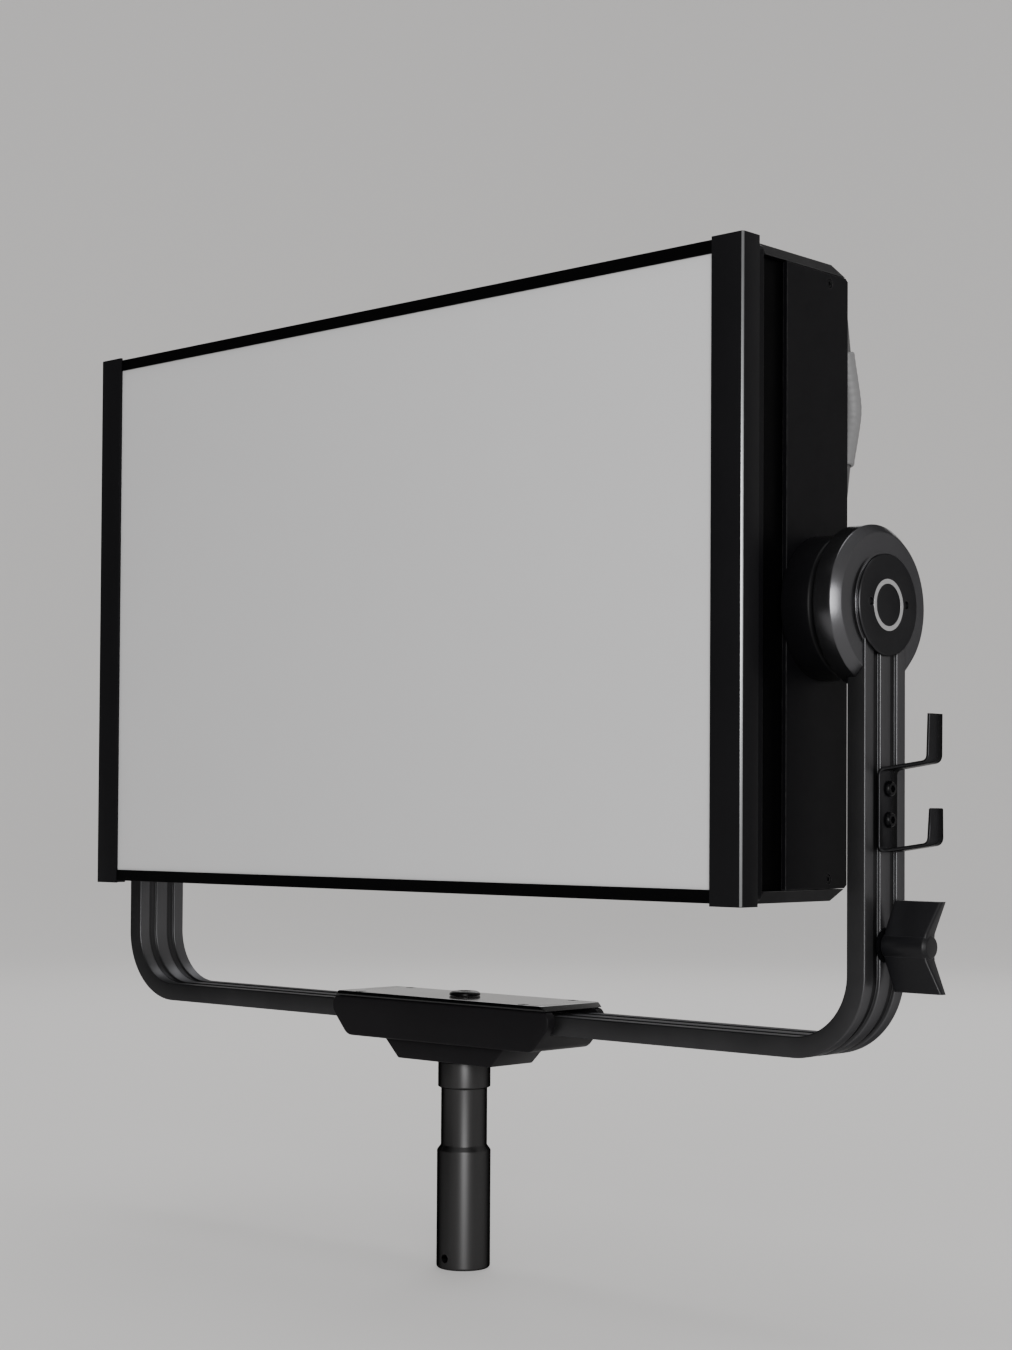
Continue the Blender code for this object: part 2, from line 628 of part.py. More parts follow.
def make_yoke(looks):
    middle = YOKE_OUT - YOKE_THICK / 2
    low = YOKE_LOW_Z + YOKE_THICK / 2
    bend_x, bend_z = middle - YOKE_BEND, low + YOKE_BEND
    steps = 9
    stations = [(Vector((-middle, 0, ARM_TOP_Z)), Vector((-1, 0, 0)))]
    for side, start in ((-1, 180), (1, 270)):
        for step in range(steps + 1):
            turn = math.radians(start + 90 * step / steps)
            out = Vector((math.cos(turn), 0, math.sin(turn)))
            stations.append((Vector((side * bend_x, 0, bend_z)) + YOKE_BEND * out, out))
    stations.append((Vector((middle, 0, ARM_TOP_Z)), Vector((1, 0, 0))))
    section = yoke_section()
    rows = [[(place + out * u + Vector((0, v, 0))) * MM for u, v in section]
            for place, out in stations]
    yoke = part("yoke", loft(rows), looks["yoke"])
    arm = (YOKE_OUT - YOKE_THICK - 3, YOKE_OUT + 3)
    for side in (1, -1):
        boolean(yoke, rod(CAP_BOSS_RADIUS + GAP, "X", (0, TILT_Z), *span(side, *arm), segments=32))
    for z in HOOK_SCREWS.values():
        boolean(yoke, rod(2.0 + GAP, "X", (0, z), *arm, segments=12))
    boolean(yoke, rod(KNOB_STUD_RADIUS + GAP, "X", (0, KNOB_Z), *arm, segments=16))
    boolean(yoke, rod(BOLT_RADIUS + GAP, "Z", (0, 0), YOKE_LOW_Z - 3, YOKE_LOW_Z + YOKE_THICK + 3))


def rounded(points, radius, steps=4):
    """Swap each inner corner of a line for a short curve."""
    path = [points[0]]
    for before, corner, after in zip(points, points[1:], points[2:]):
        start = corner + (before - corner).normalized() * radius
        end = corner + (after - corner).normalized() * radius
        for step in range(steps + 1):
            t = step / steps
            path.append(start * (1 - t) ** 2 + corner * 2 * t * (1 - t) + end * t * t)
    path.append(points[-1])
    return path


def make_cable_hooks(looks):
    """One folded strip: a plate on the arm with a hook above and a hook below."""
    plate_x = YOKE_OUT + GAP + HOOK_SHEET / 2
    tip_x, plate_top, plate_low = 292.4, 262.6, 225.1
    points = [Vector((tip_x, 0, 287.6)), Vector((tip_x - 0.4, 0, 266.1)),
              Vector((plate_x, 0, plate_top)), Vector((plate_x, 0, plate_low)),
              Vector((tip_x + 0.2, 0, 228.9)), Vector((tip_x + 0.6, 0, 245.0))]
    path = rounded(points, 3.0)
    path.insert(1, path[0].lerp(path[1], 0.12))
    path.insert(-1, path[-1].lerp(path[-2], 0.15))
    plate_half, hook_half, tip_half = 7.3, 5.8, 4.2
    rows = []
    last = len(path) - 1
    for index, point in enumerate(path):
        along = (path[min(index + 1, last)] - path[max(index - 1, 0)]).normalized()
        out = along.cross(Vector((0, 1, 0))) * HOOK_SHEET / 2
        on_plate = point.x < plate_x + 2.2
        half = plate_half if on_plate else hook_half
        if index in (0, last):
            half = tip_half
        side = Vector((0, half, 0))
        rows.append([(point + corner) * MM
                     for corner in (out + side, -out + side, -out - side, out - side)])
    bracket = part("hook_bracket", loft(rows), looks["bracket"])
    for name, z in HOOK_SCREWS.items():
        seat = (plate_x - 3, plate_x + 3)
        boolean(bracket, rod(2.0 + GAP, "X", (0, z), *seat, segments=12))
        head_in = plate_x + HOOK_SHEET / 2 + 0.1
        screw = [(0, YOKE_OUT - YOKE_THICK + 1), (2.0, YOKE_OUT - YOKE_THICK + 1), (2.0, head_in),
                 (3.6, head_in), (3.6, head_in + 1.6), (2.8, head_in + 2.3), (0, head_in + 2.3)]
        part(name, turned(screw, "X", (0, z), 16), looks["screw"])


def make_wing_knob(looks):
    """Stud and nut in the arm, with a washer and a two-winged knob outside."""
    centre = (0, KNOB_Z)
    inner_face = YOKE_OUT - YOKE_THICK
    bore = KNOB_STUD_RADIUS + GAP
    part("knob_stud", rod(KNOB_STUD_RADIUS, "X", centre, inner_face - 6.5, 284.0, 16, 0.5),
         looks["screw"])
    hex_bore = bore / math.cos(math.pi / 6)
    nut = [(hex_bore, inner_face - 5.5), (7.0, inner_face - 5.5), (7.0, inner_face - GAP),
           (hex_bore, inner_face - GAP)]
    part("knob_nut", turned(nut, "X", centre, 6, bored=True), looks["screw"])
    washer = [(bore, YOKE_OUT + GAP), (8.0, YOKE_OUT + GAP), (8.0, KNOB_WASHER_OUT),
              (bore, KNOB_WASHER_OUT)]
    part("knob_washer", turned(washer, "X", centre, 24, bored=True), looks["screw"])

    pivot = pivot_at("wing_knob_axis", (YOKE_OUT, 0, KNOB_Z))
    hub_in, bore_end = KNOB_WASHER_OUT + GAP, 284.4
    hub = turned([(0, bore_end), (bore, bore_end), (bore, hub_in), (6.2, hub_in),
                  (6.2, KNOB_HUB_OUT - 1.5), (4.6, KNOB_HUB_OUT), (0, KNOB_HUB_OUT)],
                 "X", centre, 24)
    knob = part("wing_knob", hub, looks["knob"], pivot)
    for way in (1, -1):
        rows = []
        for z, near, far, half_t in KNOB_WING:
            corners = [(near, -half_t), (far, -half_t), (far, half_t), (near, half_t)]
            rows.append([on_axis(pair, "Z", KNOB_Z + way * z) for pair in corners])
        boolean(knob, loft(rows), "UNION")
    boolean(knob, rod(bore, "X", centre, hub_in - 1, bore_end, 16))


def make_saddle(looks):
    """Block with a channel for the yoke's cross bar, under a plate with four screws."""
    body_top = PLATE_LOW_Z - 0.2
    end = SADDLE_HALF_L
    outline = [(end, 133.0), (end, 138.0), (end - 2.3, body_top), (2.3 - end, body_top),
               (-end, 138.0), (-end, 133.0), (-68.0, SADDLE_STEP_Z), (68.0, SADDLE_STEP_Z)]
    body = part("saddle", prism(outline, "Y", -SADDLE_HALF_W, SADDLE_HALF_W), looks["saddle"])
    bevel(body, 1.6, 1, 60.0)
    foot = [(45.0, SADDLE_STEP_Z + 0.5), (-45.0, SADDLE_STEP_Z + 0.5), (-34.0, SADDLE_LOW_Z),
            (34.0, SADDLE_LOW_Z)]
    half = YOKE_WIDTH / 2
    boolean(body, prism(foot, "Y", -half, half), "UNION")
    boolean(body, block((-100, 100), (-half - GAP, half + GAP), (YOKE_LOW_Z - GAP, 160)))
    boolean(body, rod(BOLT_RADIUS + GAP, "Z", (0, 0), 100, 150))

    plate_outline = [(end - 2.3, PLATE_LOW_Z), (end - 4.6, SADDLE_TOP_Z),
                     (4.6 - end, SADDLE_TOP_Z), (2.3 - end, PLATE_LOW_Z)]
    plate = part("saddle_plate", prism(plate_outline, "Y", -SADDLE_HALF_W, SADDLE_HALF_W),
                 looks["plate"])
    bevel(plate, 0.8, 1, 60.0)
    tongue_low = YOKE_LOW_Z + YOKE_THICK + GAP
    boolean(plate, block((-76, 76), (-half, half), (tongue_low, PLATE_LOW_Z + 0.5)), "UNION")
    boolean(plate, rod(BOLT_RADIUS + GAP, "Z", (0, 0), 130, 150))

    shank, head_radius, head_deep = 1.5, 2.6, 1.6
    head_low, seat_low = SADDLE_TOP_Z - head_deep, SADDLE_TOP_Z - head_deep - GAP
    seat = [(0, 120), (shank + GAP, 120), (shank + GAP, seat_low), (head_radius + GAP, seat_low),
            (head_radius + GAP, SADDLE_TOP_Z + 2), (0, SADDLE_TOP_Z + 2)]
    screw = [(0, 131), (shank, 131), (shank, head_low), (head_radius, head_low),
             (head_radius, SADDLE_TOP_Z - 0.1), (0, SADDLE_TOP_Z - 0.1)]
    for row, y in (("front", -PLATE_SCREW_Y), ("rear", PLATE_SCREW_Y)):
        for word, x in (("right", PLATE_SCREW_X), ("left", -PLATE_SCREW_X)):
            boolean(plate, turned(seat, "Z", (x, y), 12))
            boolean(body, rod(shank + GAP, "Z", (x, y), 130, 150, 12))
            part(f"plate_screw_{row}_{word}", turned(screw, "Z", (x, y), 12), looks["screw"])


def make_spigot(looks):
    """Junior stand pin with a neck for the locking screw and a bore for a safety clip."""
    top = SADDLE_LOW_Z - GAP
    neck_low, neck_high = 62.4, 96.0
    profile = [(0, 0), (SPIGOT_RADIUS - 1, 0), (SPIGOT_RADIUS, 1), (SPIGOT_RADIUS, neck_low),
               (NECK_RADIUS, neck_low + 2.6), (NECK_RADIUS, neck_high - 0.8),
               (COLLAR_RADIUS, neck_high), (COLLAR_RADIUS, top), (BOLT_RADIUS + GAP, top),
               (BOLT_RADIUS + GAP, 87), (0, 87)]
    spigot = part("spigot", turned(profile, "Z", (0, 0), 30), looks["spigot"])
    boolean(spigot, rod(2.3, "Y", (0, 6.0), -20, 20, 16))
    head_low = SADDLE_TOP_Z + GAP
    bolt = [(0, 88), (BOLT_RADIUS, 88), (BOLT_RADIUS, head_low), (8.3, head_low), (8.3, head_low + 1.6),
            (7.4, head_low + 2.3), (0, head_low + 2.3)]
    part("centre_bolt", turned(bolt, "Z", (0, 0), 24), looks["screw"])


def make_looks():
    dark = (0.03, 0.03, 0.033)
    return {
        "bezel": material("bezel_black", (0.02, 0.02, 0.022), 0.5, 0.3),
        "rail": material("rail_black", (0.008, 0.008, 0.009), 0.6),
        "opal": material("opal_sheet", (0.86, 0.86, 0.85), 0.45),
        "frame": material("frame_black", (0.012, 0.012, 0.014), 0.5),
        "shell": material("shell_black", (0.022, 0.022, 0.024), 0.55),
        "white": material("white_lining", (0.85, 0.85, 0.83), 0.6),
        "board": material("circuit_board", (0.02, 0.12, 0.06), 0.5),
        "bare": material("bare_aluminium", (0.62, 0.63, 0.64), 0.4, 1.0),
        "screw": material("black_screw", (0.012, 0.012, 0.013), 0.35, 0.8),
        "steel": material("zinc_steel", (0.5, 0.5, 0.5), 0.35, 1.0),
        "dark_metal": material("dark_anodised", dark, 0.42, 0.6),
        "cap": material("cap_anodised", (0.035, 0.035, 0.038), 0.35, 0.6),
        "washer": material("friction_washer", (0.05, 0.045, 0.04), 0.8),
        "yoke": material("yoke_coating", (0.035, 0.035, 0.037), 0.5, 0.4),
        "bracket": material("bracket_black", (0.025, 0.025, 0.027), 0.5, 0.4),
        "knob": material("black_nylon", (0.03, 0.03, 0.032), 0.6),
        "saddle": material("saddle_coating", (0.03, 0.029, 0.031), 0.55, 0.4),
        "plate": material("plate_black", (0.014, 0.014, 0.016), 0.45, 0.4),
        "spigot": material("spigot_black", (0.04, 0.04, 0.042), 0.3, 0.9),
        "handle": material("handle_alloy", (0.55, 0.56, 0.57), 0.4, 0.9),
        "rubber": material("soft_grip", (0.3, 0.3, 0.31), 0.8),
        "panel": material("panel_black", (0.015, 0.015, 0.017), 0.5),
        "display": material("display_glass", (0.01, 0.012, 0.016), 0.12),
        "button": material("button_grey", (0.12, 0.12, 0.13), 0.6),
        "plastic": material("inlet_plastic", (0.02, 0.02, 0.02), 0.5),
    }


def main():
    clear_scene()
    looks = make_looks()
    head = pivot_at("tilt_axis", (0, 0, TILT_Z))
    for make in (make_bezel, make_diffuser, make_front_frame, make_light_engine, make_chassis,
                 make_shells, make_side_plates, make_rear_cover, make_handles, make_electrics,
                 make_control_panel, make_mains_inlet):
        make(looks, head)
    for word, side in (("right", 1), ("left", -1)):
        make_tilt_joint(word, side, looks, head)
    for make in (make_yoke, make_cable_hooks, make_wing_knob, make_saddle, make_spigot):
        make(looks)


main()
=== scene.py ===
"""Looks of the LED soft panel light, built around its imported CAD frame.

Lengths are in millimetres in the row frame (+Z up, the light shines along -Y, the
cable hooks are on the +X side) and become metres where a mesh or a light is made.
"""
import math

import bmesh
import bpy
from mathutils import Matrix, Vector


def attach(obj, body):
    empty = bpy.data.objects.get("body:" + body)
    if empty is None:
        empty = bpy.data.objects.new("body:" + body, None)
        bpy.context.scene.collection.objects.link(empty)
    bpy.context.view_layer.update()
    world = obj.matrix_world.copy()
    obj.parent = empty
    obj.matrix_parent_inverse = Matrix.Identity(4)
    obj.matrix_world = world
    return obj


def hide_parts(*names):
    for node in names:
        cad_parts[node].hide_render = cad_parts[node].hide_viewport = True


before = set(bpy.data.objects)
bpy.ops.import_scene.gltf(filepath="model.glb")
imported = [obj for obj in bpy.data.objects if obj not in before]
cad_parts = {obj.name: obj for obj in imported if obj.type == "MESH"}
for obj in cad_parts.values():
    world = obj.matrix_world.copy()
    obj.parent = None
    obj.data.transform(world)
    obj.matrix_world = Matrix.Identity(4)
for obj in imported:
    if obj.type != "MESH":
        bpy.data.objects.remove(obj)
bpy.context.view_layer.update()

MM = 0.001

# Camera: place, direction (degrees) and lens
CAMERA_AT = (865.2, -901.2, 242.1)
CAMERA_AZIMUTH, CAMERA_PITCH, CAMERA_ROLL = 42.86, 1.47, 0.344
CAMERA_LENS = 62.23          # mm on a 36 mm long side
CAMERA_SHIFT_Y = 0.0571

# Finishes
ALONG_X, ALONG_Z = (90, 0.35, 0.35), (0.35, 0.35, 90)
# Edge colours for wear that also serves as a painted edge highlight.
PALE_WORN_LIT_EDGE, BARE_WORN_LIT_EDGE = (0.06, 0.06, 0.063), (0.16, 0.16, 0.165)
GLOW_COLOUR = (1.0, 0.985, 0.975, 1)
# Colour for painted shade in the yoke's groove floors and along its side faces.
PAINTED_SHADE_BLACK = (0.002, 0.002, 0.002, 1)

# Stage
FLOOR_RADIUS = 2600.0
SWEEP_RADIUS = 1500.0
WALL_HEIGHT = 5200.0

# Lights
LIGHT_AIM = (0, 0, 300)

# Head
HEAD_Z = 352.0
HEAD_HALF_W, HEAD_HALF_H = 234.0, 152.0
OPENING_HALF_W = 216.0
FRONT_Y, BEZEL_BACK_Y, BACK_Y = -66.5, -54.0, 18.5
BEZEL_WEB, BEZEL_LIP, BEZEL_CUT = 11.0, 1.5, 1.2
PANEL_FACE_Y = 19.3
KNOB_ROW_Z = 250.0
CASE_SCREW_Y, CASE_SCREW_Z = 5.0, 140.5
HANDLE_X, HANDLE_Z = 213.0, 439.0
HANDLE_HALF_H, GRIP_HALF_H = 51.5, 28.0
HANDLE_HALF_SIZE = (6.0, 3.4)
GRIP_HALF_SIZE, GRIP_BORE_HALF_SIZE = (7.8, 5.0), (6.25, 3.65)

# Tilt joints, on the line y = 0
TILT_Z = 338.0
AXLE = (0, 0, TILT_Z)
AXLE_BORE = 6.3
HUB_RADIUS, HUB_IN, HUB_OUT = 34.0, 231.3, 248.9
DISC_RADIUS, DISC_IN, DISC_OUT = 37.5, 251.0, 265.0
YOKE_OUT = 266.0
CAP_RADIUS, CAP_OUT = 23.5, 267.7
CAP_HOLE_RADIUS, CAP_HOLE_Y, CAP_HOLE_LIFT = 1.9, 14.4, 0.8

# Yoke
YOKE_THICK, YOKE_WIDTH = 10.0, 33.0
YOKE_LOW_Z = 129.0
YOKE_GAP = 0.3
YOKE_EDGE = 0.4
YOKE_BEND = 35.0
ARM_TOP_Z = 350.5

# Stand side
SADDLE_HALF_L, SADDLE_HALF_W = 79.5, 22.5
SADDLE_STEP_Z, SADDLE_LOW_Z = 119.9, 109.5
PLATE_LOW_Z, PLATE_TOP_Z = 141.2, 143.9
PLATE_SCREWS = {"front_right": (60.0, -19.3), "front_left": (-60.0, -19.3),
                "rear_right": (60.0, 19.3), "rear_left": (-60.0, 19.3)}
SPIGOT_RADIUS, SPIGOT_TOP_Z = 14.3, 109.2
BOLT_BORE = 5.3
HOOK_THICK = 1.4
HOOK_SCREWS = (("upper", 253.7), ("lower", 239.5))
KNOB_Z = 182.2
KNOB_IN, KNOB_BORE_END, KNOB_OUT = 267.6, 284.4, 291.0
KNOB_BORE = 4.3

# CAD nodes that stay in view: how far their edges are rounded, and finishes of their own
NODE_EDGES = {
    "rail_top": 0.25, "rail_bottom": 0.25,
    "front_frame": 0.3, "chassis": 0.3, "shell_top": 0.4, "shell_bottom": 0.4,
    "side_plate_right": 0.12, "side_plate_left": 0.12, "rear_cover": 0.35, "control_panel": 0.3,
    "display_window": 0.2, "mains_inlet": 0.3, "power_switch": 0.4, "menu_button": 0.3,
    "mode_button": 0.3,
}
NODE_LOOKS = {"front_frame": "shell_black"}

LOOKS = {}  # every finish under its name, filled by surface()


# ---------------------------------------------------------------- materials

def add_node(tree, kind, inputs=None, **settings):
    """Add a node; each input is a value or the socket that feeds it."""
    made = tree.nodes.new(kind)
    for key, value in settings.items():
        setattr(made, key, value)
    for key, value in (inputs or {}).items():
        if isinstance(value, bpy.types.NodeSocket):
            tree.links.new(value, made.inputs[key])
        else:
            made.inputs[key].default_value = value
    return made


def noise(tree, where, sizes, detail=2.0, roughness=0.5):
    """Noise whose grains measure sizes (x, y, z) in millimetres."""
    scale = [1 / (size * MM) for size in sizes]
    mapped = add_node(tree, "ShaderNodeMapping", {"Vector": where, "Scale": scale})
    made = add_node(tree, "ShaderNodeTexNoise",
                    {"Vector": mapped.outputs[0], "Scale": 1.0, "Detail": detail,
                     "Roughness": roughness})
    return made.outputs["Fac"]


def ring_noise(tree, where, centre, size):
    """Noise that changes only with the distance from a line along X through the centre."""
    off = add_node(tree, "ShaderNodeVectorMath", {0: where, 1: [-c * MM for c in centre]},
                   operation="ADD")
    flat = add_node(tree, "ShaderNodeVectorMath", {0: off.outputs[0], 1: (0, 1, 1)},
                    operation="MULTIPLY")
    far = add_node(tree, "ShaderNodeVectorMath", {0: flat.outputs[0]}, operation="LENGTH")
    turn = add_node(tree, "ShaderNodeMath", {0: far.outputs["Value"], 1: 1 / (size * MM)},
                    operation="MULTIPLY")
    made = add_node(tree, "ShaderNodeTexNoise", {"W": turn.outputs[0], "Scale": 1.0, "Detail": 3.0},
                    noise_dimensions="1D")
    return made.outputs["Fac"]


def remap(tree, value, low, high, to_low, to_high):
    made = add_node(tree, "ShaderNodeMapRange", {"Value": value, "From Min": low, "From Max": high,
                                                 "To Min": to_low, "To Max": to_high})
    return made.outputs[0]


def mix_colour(tree, share, first, second):
    made = add_node(tree, "ShaderNodeMix", {"Factor": share, 6: first, 7: second},
                    data_type="RGBA")
    return made.outputs[2]


def worn_lit_edge_share(tree, where, width, amount):
    """How much a place is lightened, as wear and as a painted edge highlight: up to amount on a
    sharp edge, broken up by noise, 0 elsewhere.
    """
    soft = add_node(tree, "ShaderNodeBevel", {"Radius": width * MM}, samples=4)
    true = add_node(tree, "ShaderNodeNewGeometry")
    match = add_node(tree, "ShaderNodeVectorMath",
                     {0: soft.outputs[0], 1: true.outputs["Normal"]}, operation="DOT_PRODUCT")
    edge = remap(tree, match.outputs["Value"], 0.995, 0.85, 0.0, amount)
    broken = remap(tree, noise(tree, where, (7, 7, 7), 4.0, 0.6), 0.35, 0.6, 0.25, 1.0)
    made = add_node(tree, "ShaderNodeMath", {0: edge, 1: broken}, operation="MULTIPLY")
    return made.outputs[0]


def painted_shade_share(tree, where, stripes):
    """Painted shade: a value that follows (distance, value) pairs with the distance from the plane
    y = 0.
    """
    y = add_node(tree, "ShaderNodeSeparateXYZ", {0: where}).outputs["Y"]
    far = add_node(tree, "ShaderNodeMath", {0: y}, operation="ABSOLUTE")
    reach = stripes[-1][0]
    place = remap(tree, far.outputs[0], 0.0, reach * MM, 0.0, 1.0)
    ramp = add_node(tree, "ShaderNodeValToRGB", {"Fac": place})
    stops = ramp.color_ramp.elements
    for index, (distance, value) in enumerate(stripes):
        stop = stops[index] if index < 2 else stops.new(distance / reach)
        stop.position = distance / reach
        stop.color = (value, value, value, 1)
    return ramp.outputs["Color"]


def texture(tree, where, colour, cloud=0.18, stripes=None, streaks=None, rings=None,
            grain=None, specks=None, wear=None):
    """The colour of a finish, and the (height, depth) pairs of its fine relief.

    cloud is how far the colour drifts. stripes is a list of (distance from the plane
    y = 0, share of the colour that stays), which paints shade. streaks is ((x, y, z) sizes, depth),
    rings (centre, size, depth), grain (size, depth), specks (size, share, colour) and
    wear (width, amount, colour), which lightens sharp edges as wear and as a
    painted edge highlight, all sizes in millimetres.
    """
    wide = noise(tree, where, (46, 46, 46), 3.0)
    dark = (*[c * (1 - cloud) for c in colour], 1)
    light = (*[min(1.0, c * (1 + cloud)) for c in colour], 1)
    shown = mix_colour(tree, wide, dark, light)
    # Painted shade: the colour darkens in bands at given distances from the plane y = 0.
    if stripes:
        kept = painted_shade_share(tree, where, stripes)
        shown = mix_colour(tree, kept, PAINTED_SHADE_BLACK, shown)
    relief = []
    if streaks:
        relief.append((noise(tree, where, streaks[0], 3.0, 0.6), streaks[1]))
    if rings:
        relief.append((ring_noise(tree, where, rings[0], rings[1]), rings[2]))
    for lines, _ in relief:
        shown = mix_colour(tree, remap(tree, lines, 0.3, 0.7, 0.0, 0.35), shown, light)
    if grain:
        relief.append((noise(tree, where, [grain[0]] * 3, 2.0, 0.55), grain[1]))
    if specks:
        fine = noise(tree, where, [specks[0]] * 3, 1.0)
        share = remap(tree, fine, 0.72 - specks[1], 0.74 - specks[1], 0.0, 1.0)
        shown = mix_colour(tree, share, shown, (*specks[2], 1))
    # Sharp edges lightened, partly as wear and partly as a painted edge highlight.
    if wear:
        share = worn_lit_edge_share(tree, where, wear[0], wear[1])
        shown = mix_colour(tree, share, shown, (*wear[2], 1))
    return shown, relief


def link_relief(tree, shader, relief):
    """Feed the heights to the shader's normal, one bump on top of another."""
    normal = None
    for height, depth in relief:
        step = {"Height": height, "Strength": 1.0, "Distance": depth * MM}
        if normal is not None:
            step["Normal"] = normal
        normal = add_node(tree, "ShaderNodeBump", step).outputs[0]
    if normal is not None:
        tree.links.new(normal, shader.inputs["Normal"])


def surface(name, colour, rough, metallic=0.0, specular=0.5, rough_vary=0.06, coat=0.0,
            rim=1.0, glow=0.0, turned_sheen=0.0, **details):
    """Add a finish to LOOKS; the details are those of texture().

    rim is how bright a metal gets where it is seen at a shallow angle. turned_sheen draws the
    highlight out along Z, as fine turning marks do.
    """
    made = bpy.data.materials.new(f"{name}_finish")
    made.use_nodes = True
    tree = made.node_tree
    shader = tree.nodes["Principled BSDF"]
    settings = {"Metallic": metallic, "Specular IOR Level": specular, "Coat Weight": coat,
                "Coat Roughness": 0.15, "Specular Tint": (rim, rim, rim, 1),
                "Emission Color": GLOW_COLOUR, "Emission Strength": glow}
    for socket, value in settings.items():
        shader.inputs[socket].default_value = value
    where = add_node(tree, "ShaderNodeTexCoord").outputs["Object"]
    shown, relief = texture(tree, where, colour, **details)
    tree.links.new(shown, shader.inputs["Base Color"])

    patches = noise(tree, where, (19, 19, 19), 4.0, 0.6)
    rough_map = remap(tree, patches, 0.25, 0.75, rough - rough_vary, rough + rough_vary)
    tree.links.new(rough_map, shader.inputs["Roughness"])
    if turned_sheen:
        around = add_node(tree, "ShaderNodeTangent", direction_type="RADIAL", axis="Z")
        tree.links.new(around.outputs[0], shader.inputs["Tangent"])
        shader.inputs["Anisotropic"].default_value = turned_sheen
        shader.inputs["Anisotropic Rotation"].default_value = 0.25
    link_relief(tree, shader, relief)
    LOOKS[name] = made


def make_head_looks():
    """Finishes of the head and of what is inside it."""
    surface("bezel_black", (0.0078, 0.0077, 0.0085), 0.42, specular=0.04, rough_vary=0.03,
            streaks=(ALONG_Z, 0.003), grain=(0.7, 0.0015))
    surface("cut_edge", (0.21, 0.215, 0.22), 0.34, metallic=1.0, cloud=0.12, rough_vary=0.03,
            streaks=(ALONG_Z, 0.002))
    surface("hub_black", (0.0035, 0.0034, 0.004), 0.4, specular=0.12, rings=(AXLE, 0.4, 0.004),
            grain=(0.6, 0.004))
    surface("rail_black", (0.0012, 0.0012, 0.0014), 0.5, specular=0.04, streaks=(ALONG_X, 0.006),
            grain=(0.8, 0.006))
    surface("opal_sheet", (0.6, 0.6, 0.605), 0.4, specular=0.25, cloud=0.012, rough_vary=0.04,
            grain=(0.5, 0.003))
    surface("frame_black", (0.001, 0.001, 0.0012), 0.4, specular=0.03, streaks=(ALONG_Z, 0.006),
            grain=(0.8, 0.005))
    # The shell's edges are lightened as wear and as a painted edge highlight.
    surface("shell_black", (0.0032, 0.0031, 0.0038), 0.42, specular=0.075, grain=(0.55, 0.012),
            specks=(0.4, 0.02, (0.008, 0.008, 0.009)), wear=(0.6, 0.5, (0.09, 0.09, 0.09)))
    surface("white_lining", (0.82, 0.82, 0.8), 0.55, cloud=0.04, grain=(0.8, 0.01))
    surface("circuit_board", (0.015, 0.11, 0.05), 0.4, cloud=0.35, streaks=((2.2, 9, 0.6), 0.02),
            specks=(1.6, 0.05, (0.6, 0.45, 0.15)))
    surface("bare_aluminium", (0.55, 0.56, 0.57), 0.36, metallic=1.0, cloud=0.1,
            streaks=(ALONG_Z, 0.01), grain=(0.8, 0.005))


def make_joint_looks():
    """Finishes of the screws and the tilt joints."""
    surface("black_screw", (0.0025, 0.0025, 0.003), 0.3, specular=0.1, grain=(0.3, 0.004))
    surface("zinc_steel", (0.42, 0.43, 0.44), 0.3, metallic=1.0, cloud=0.14, grain=(0.5, 0.006),
            streaks=((0.25, 12, 12), 0.005))
    surface("dark_anodised", (0.092, 0.092, 0.097), 0.25, metallic=0.95, rim=0.3, rough_vary=0.02,
            rings=(AXLE, 0.22, 0.003), grain=(0.6, 0.0015))
    # The cap's edges are lightened as wear and as a painted edge highlight.
    surface("cap_anodised", (0.035, 0.035, 0.037), 0.3, metallic=0.9, rim=0.3, rough_vary=0.02,
            rings=(AXLE, 0.2, 0.003), grain=(0.6, 0.0015), wear=(0.35, 0.7, BARE_WORN_LIT_EDGE))
    surface("friction_washer", (0.02, 0.018, 0.016), 0.75, cloud=0.3, specular=0.2,
            grain=(0.9, 0.04), specks=(0.6, 0.05, (0.06, 0.05, 0.035)))


def make_yoke_looks():
    """Finishes of the yoke and what it carries."""
    # The yoke's groove floors and its side faces are darkened in its colour as painted shade.
    surface("yoke_coating", (0.088, 0.088, 0.0915), 0.36, metallic=0.9, rim=0.25, specular=0.2,
            rough_vary=0.02, streaks=((60, 0.5, 60), 0.003), grain=(0.7, 0.003),
            stripes=((0, 1), (3.9, 1), (4.3, 0.28), (9.2, 0.28), (9.6, 1), (16.0, 1),
                     (16.3, 0.55), (17.0, 0.55)))
    # The edges of the bracket, the knob, the saddle and its plate are lightened as wear and as a
    # painted edge highlight.
    surface("bracket_black", (0.03, 0.03, 0.032), 0.32, metallic=0.9, rim=0.3, rough_vary=0.03,
            grain=(0.7, 0.004), wear=(0.35, 0.6, BARE_WORN_LIT_EDGE))
    surface("black_nylon", (0.006, 0.006, 0.007), 0.4, specular=0.24, grain=(0.5, 0.014),
            wear=(0.6, 0.6, PALE_WORN_LIT_EDGE))
    surface("saddle_coating", (0.0088, 0.0083, 0.0092), 0.45, specular=0.06, rough_vary=0.02,
            grain=(0.5, 0.008), specks=(0.4, 0.015, (0.012, 0.012, 0.013)),
            wear=(0.6, 0.3, PALE_WORN_LIT_EDGE))
    surface("plate_black", (0.0015, 0.0015, 0.0018), 0.12, specular=0.5, rough_vary=0.02,
            streaks=(ALONG_X, 0.001), grain=(0.7, 0.001), wear=(0.4, 0.3, PALE_WORN_LIT_EDGE))
    surface("spigot_black", (0.06, 0.0595, 0.06), 0.44, metallic=1.0, rim=0.0, cloud=0.08,
            rough_vary=0.01, turned_sheen=0.6, streaks=((50, 50, 0.28), 0.002))


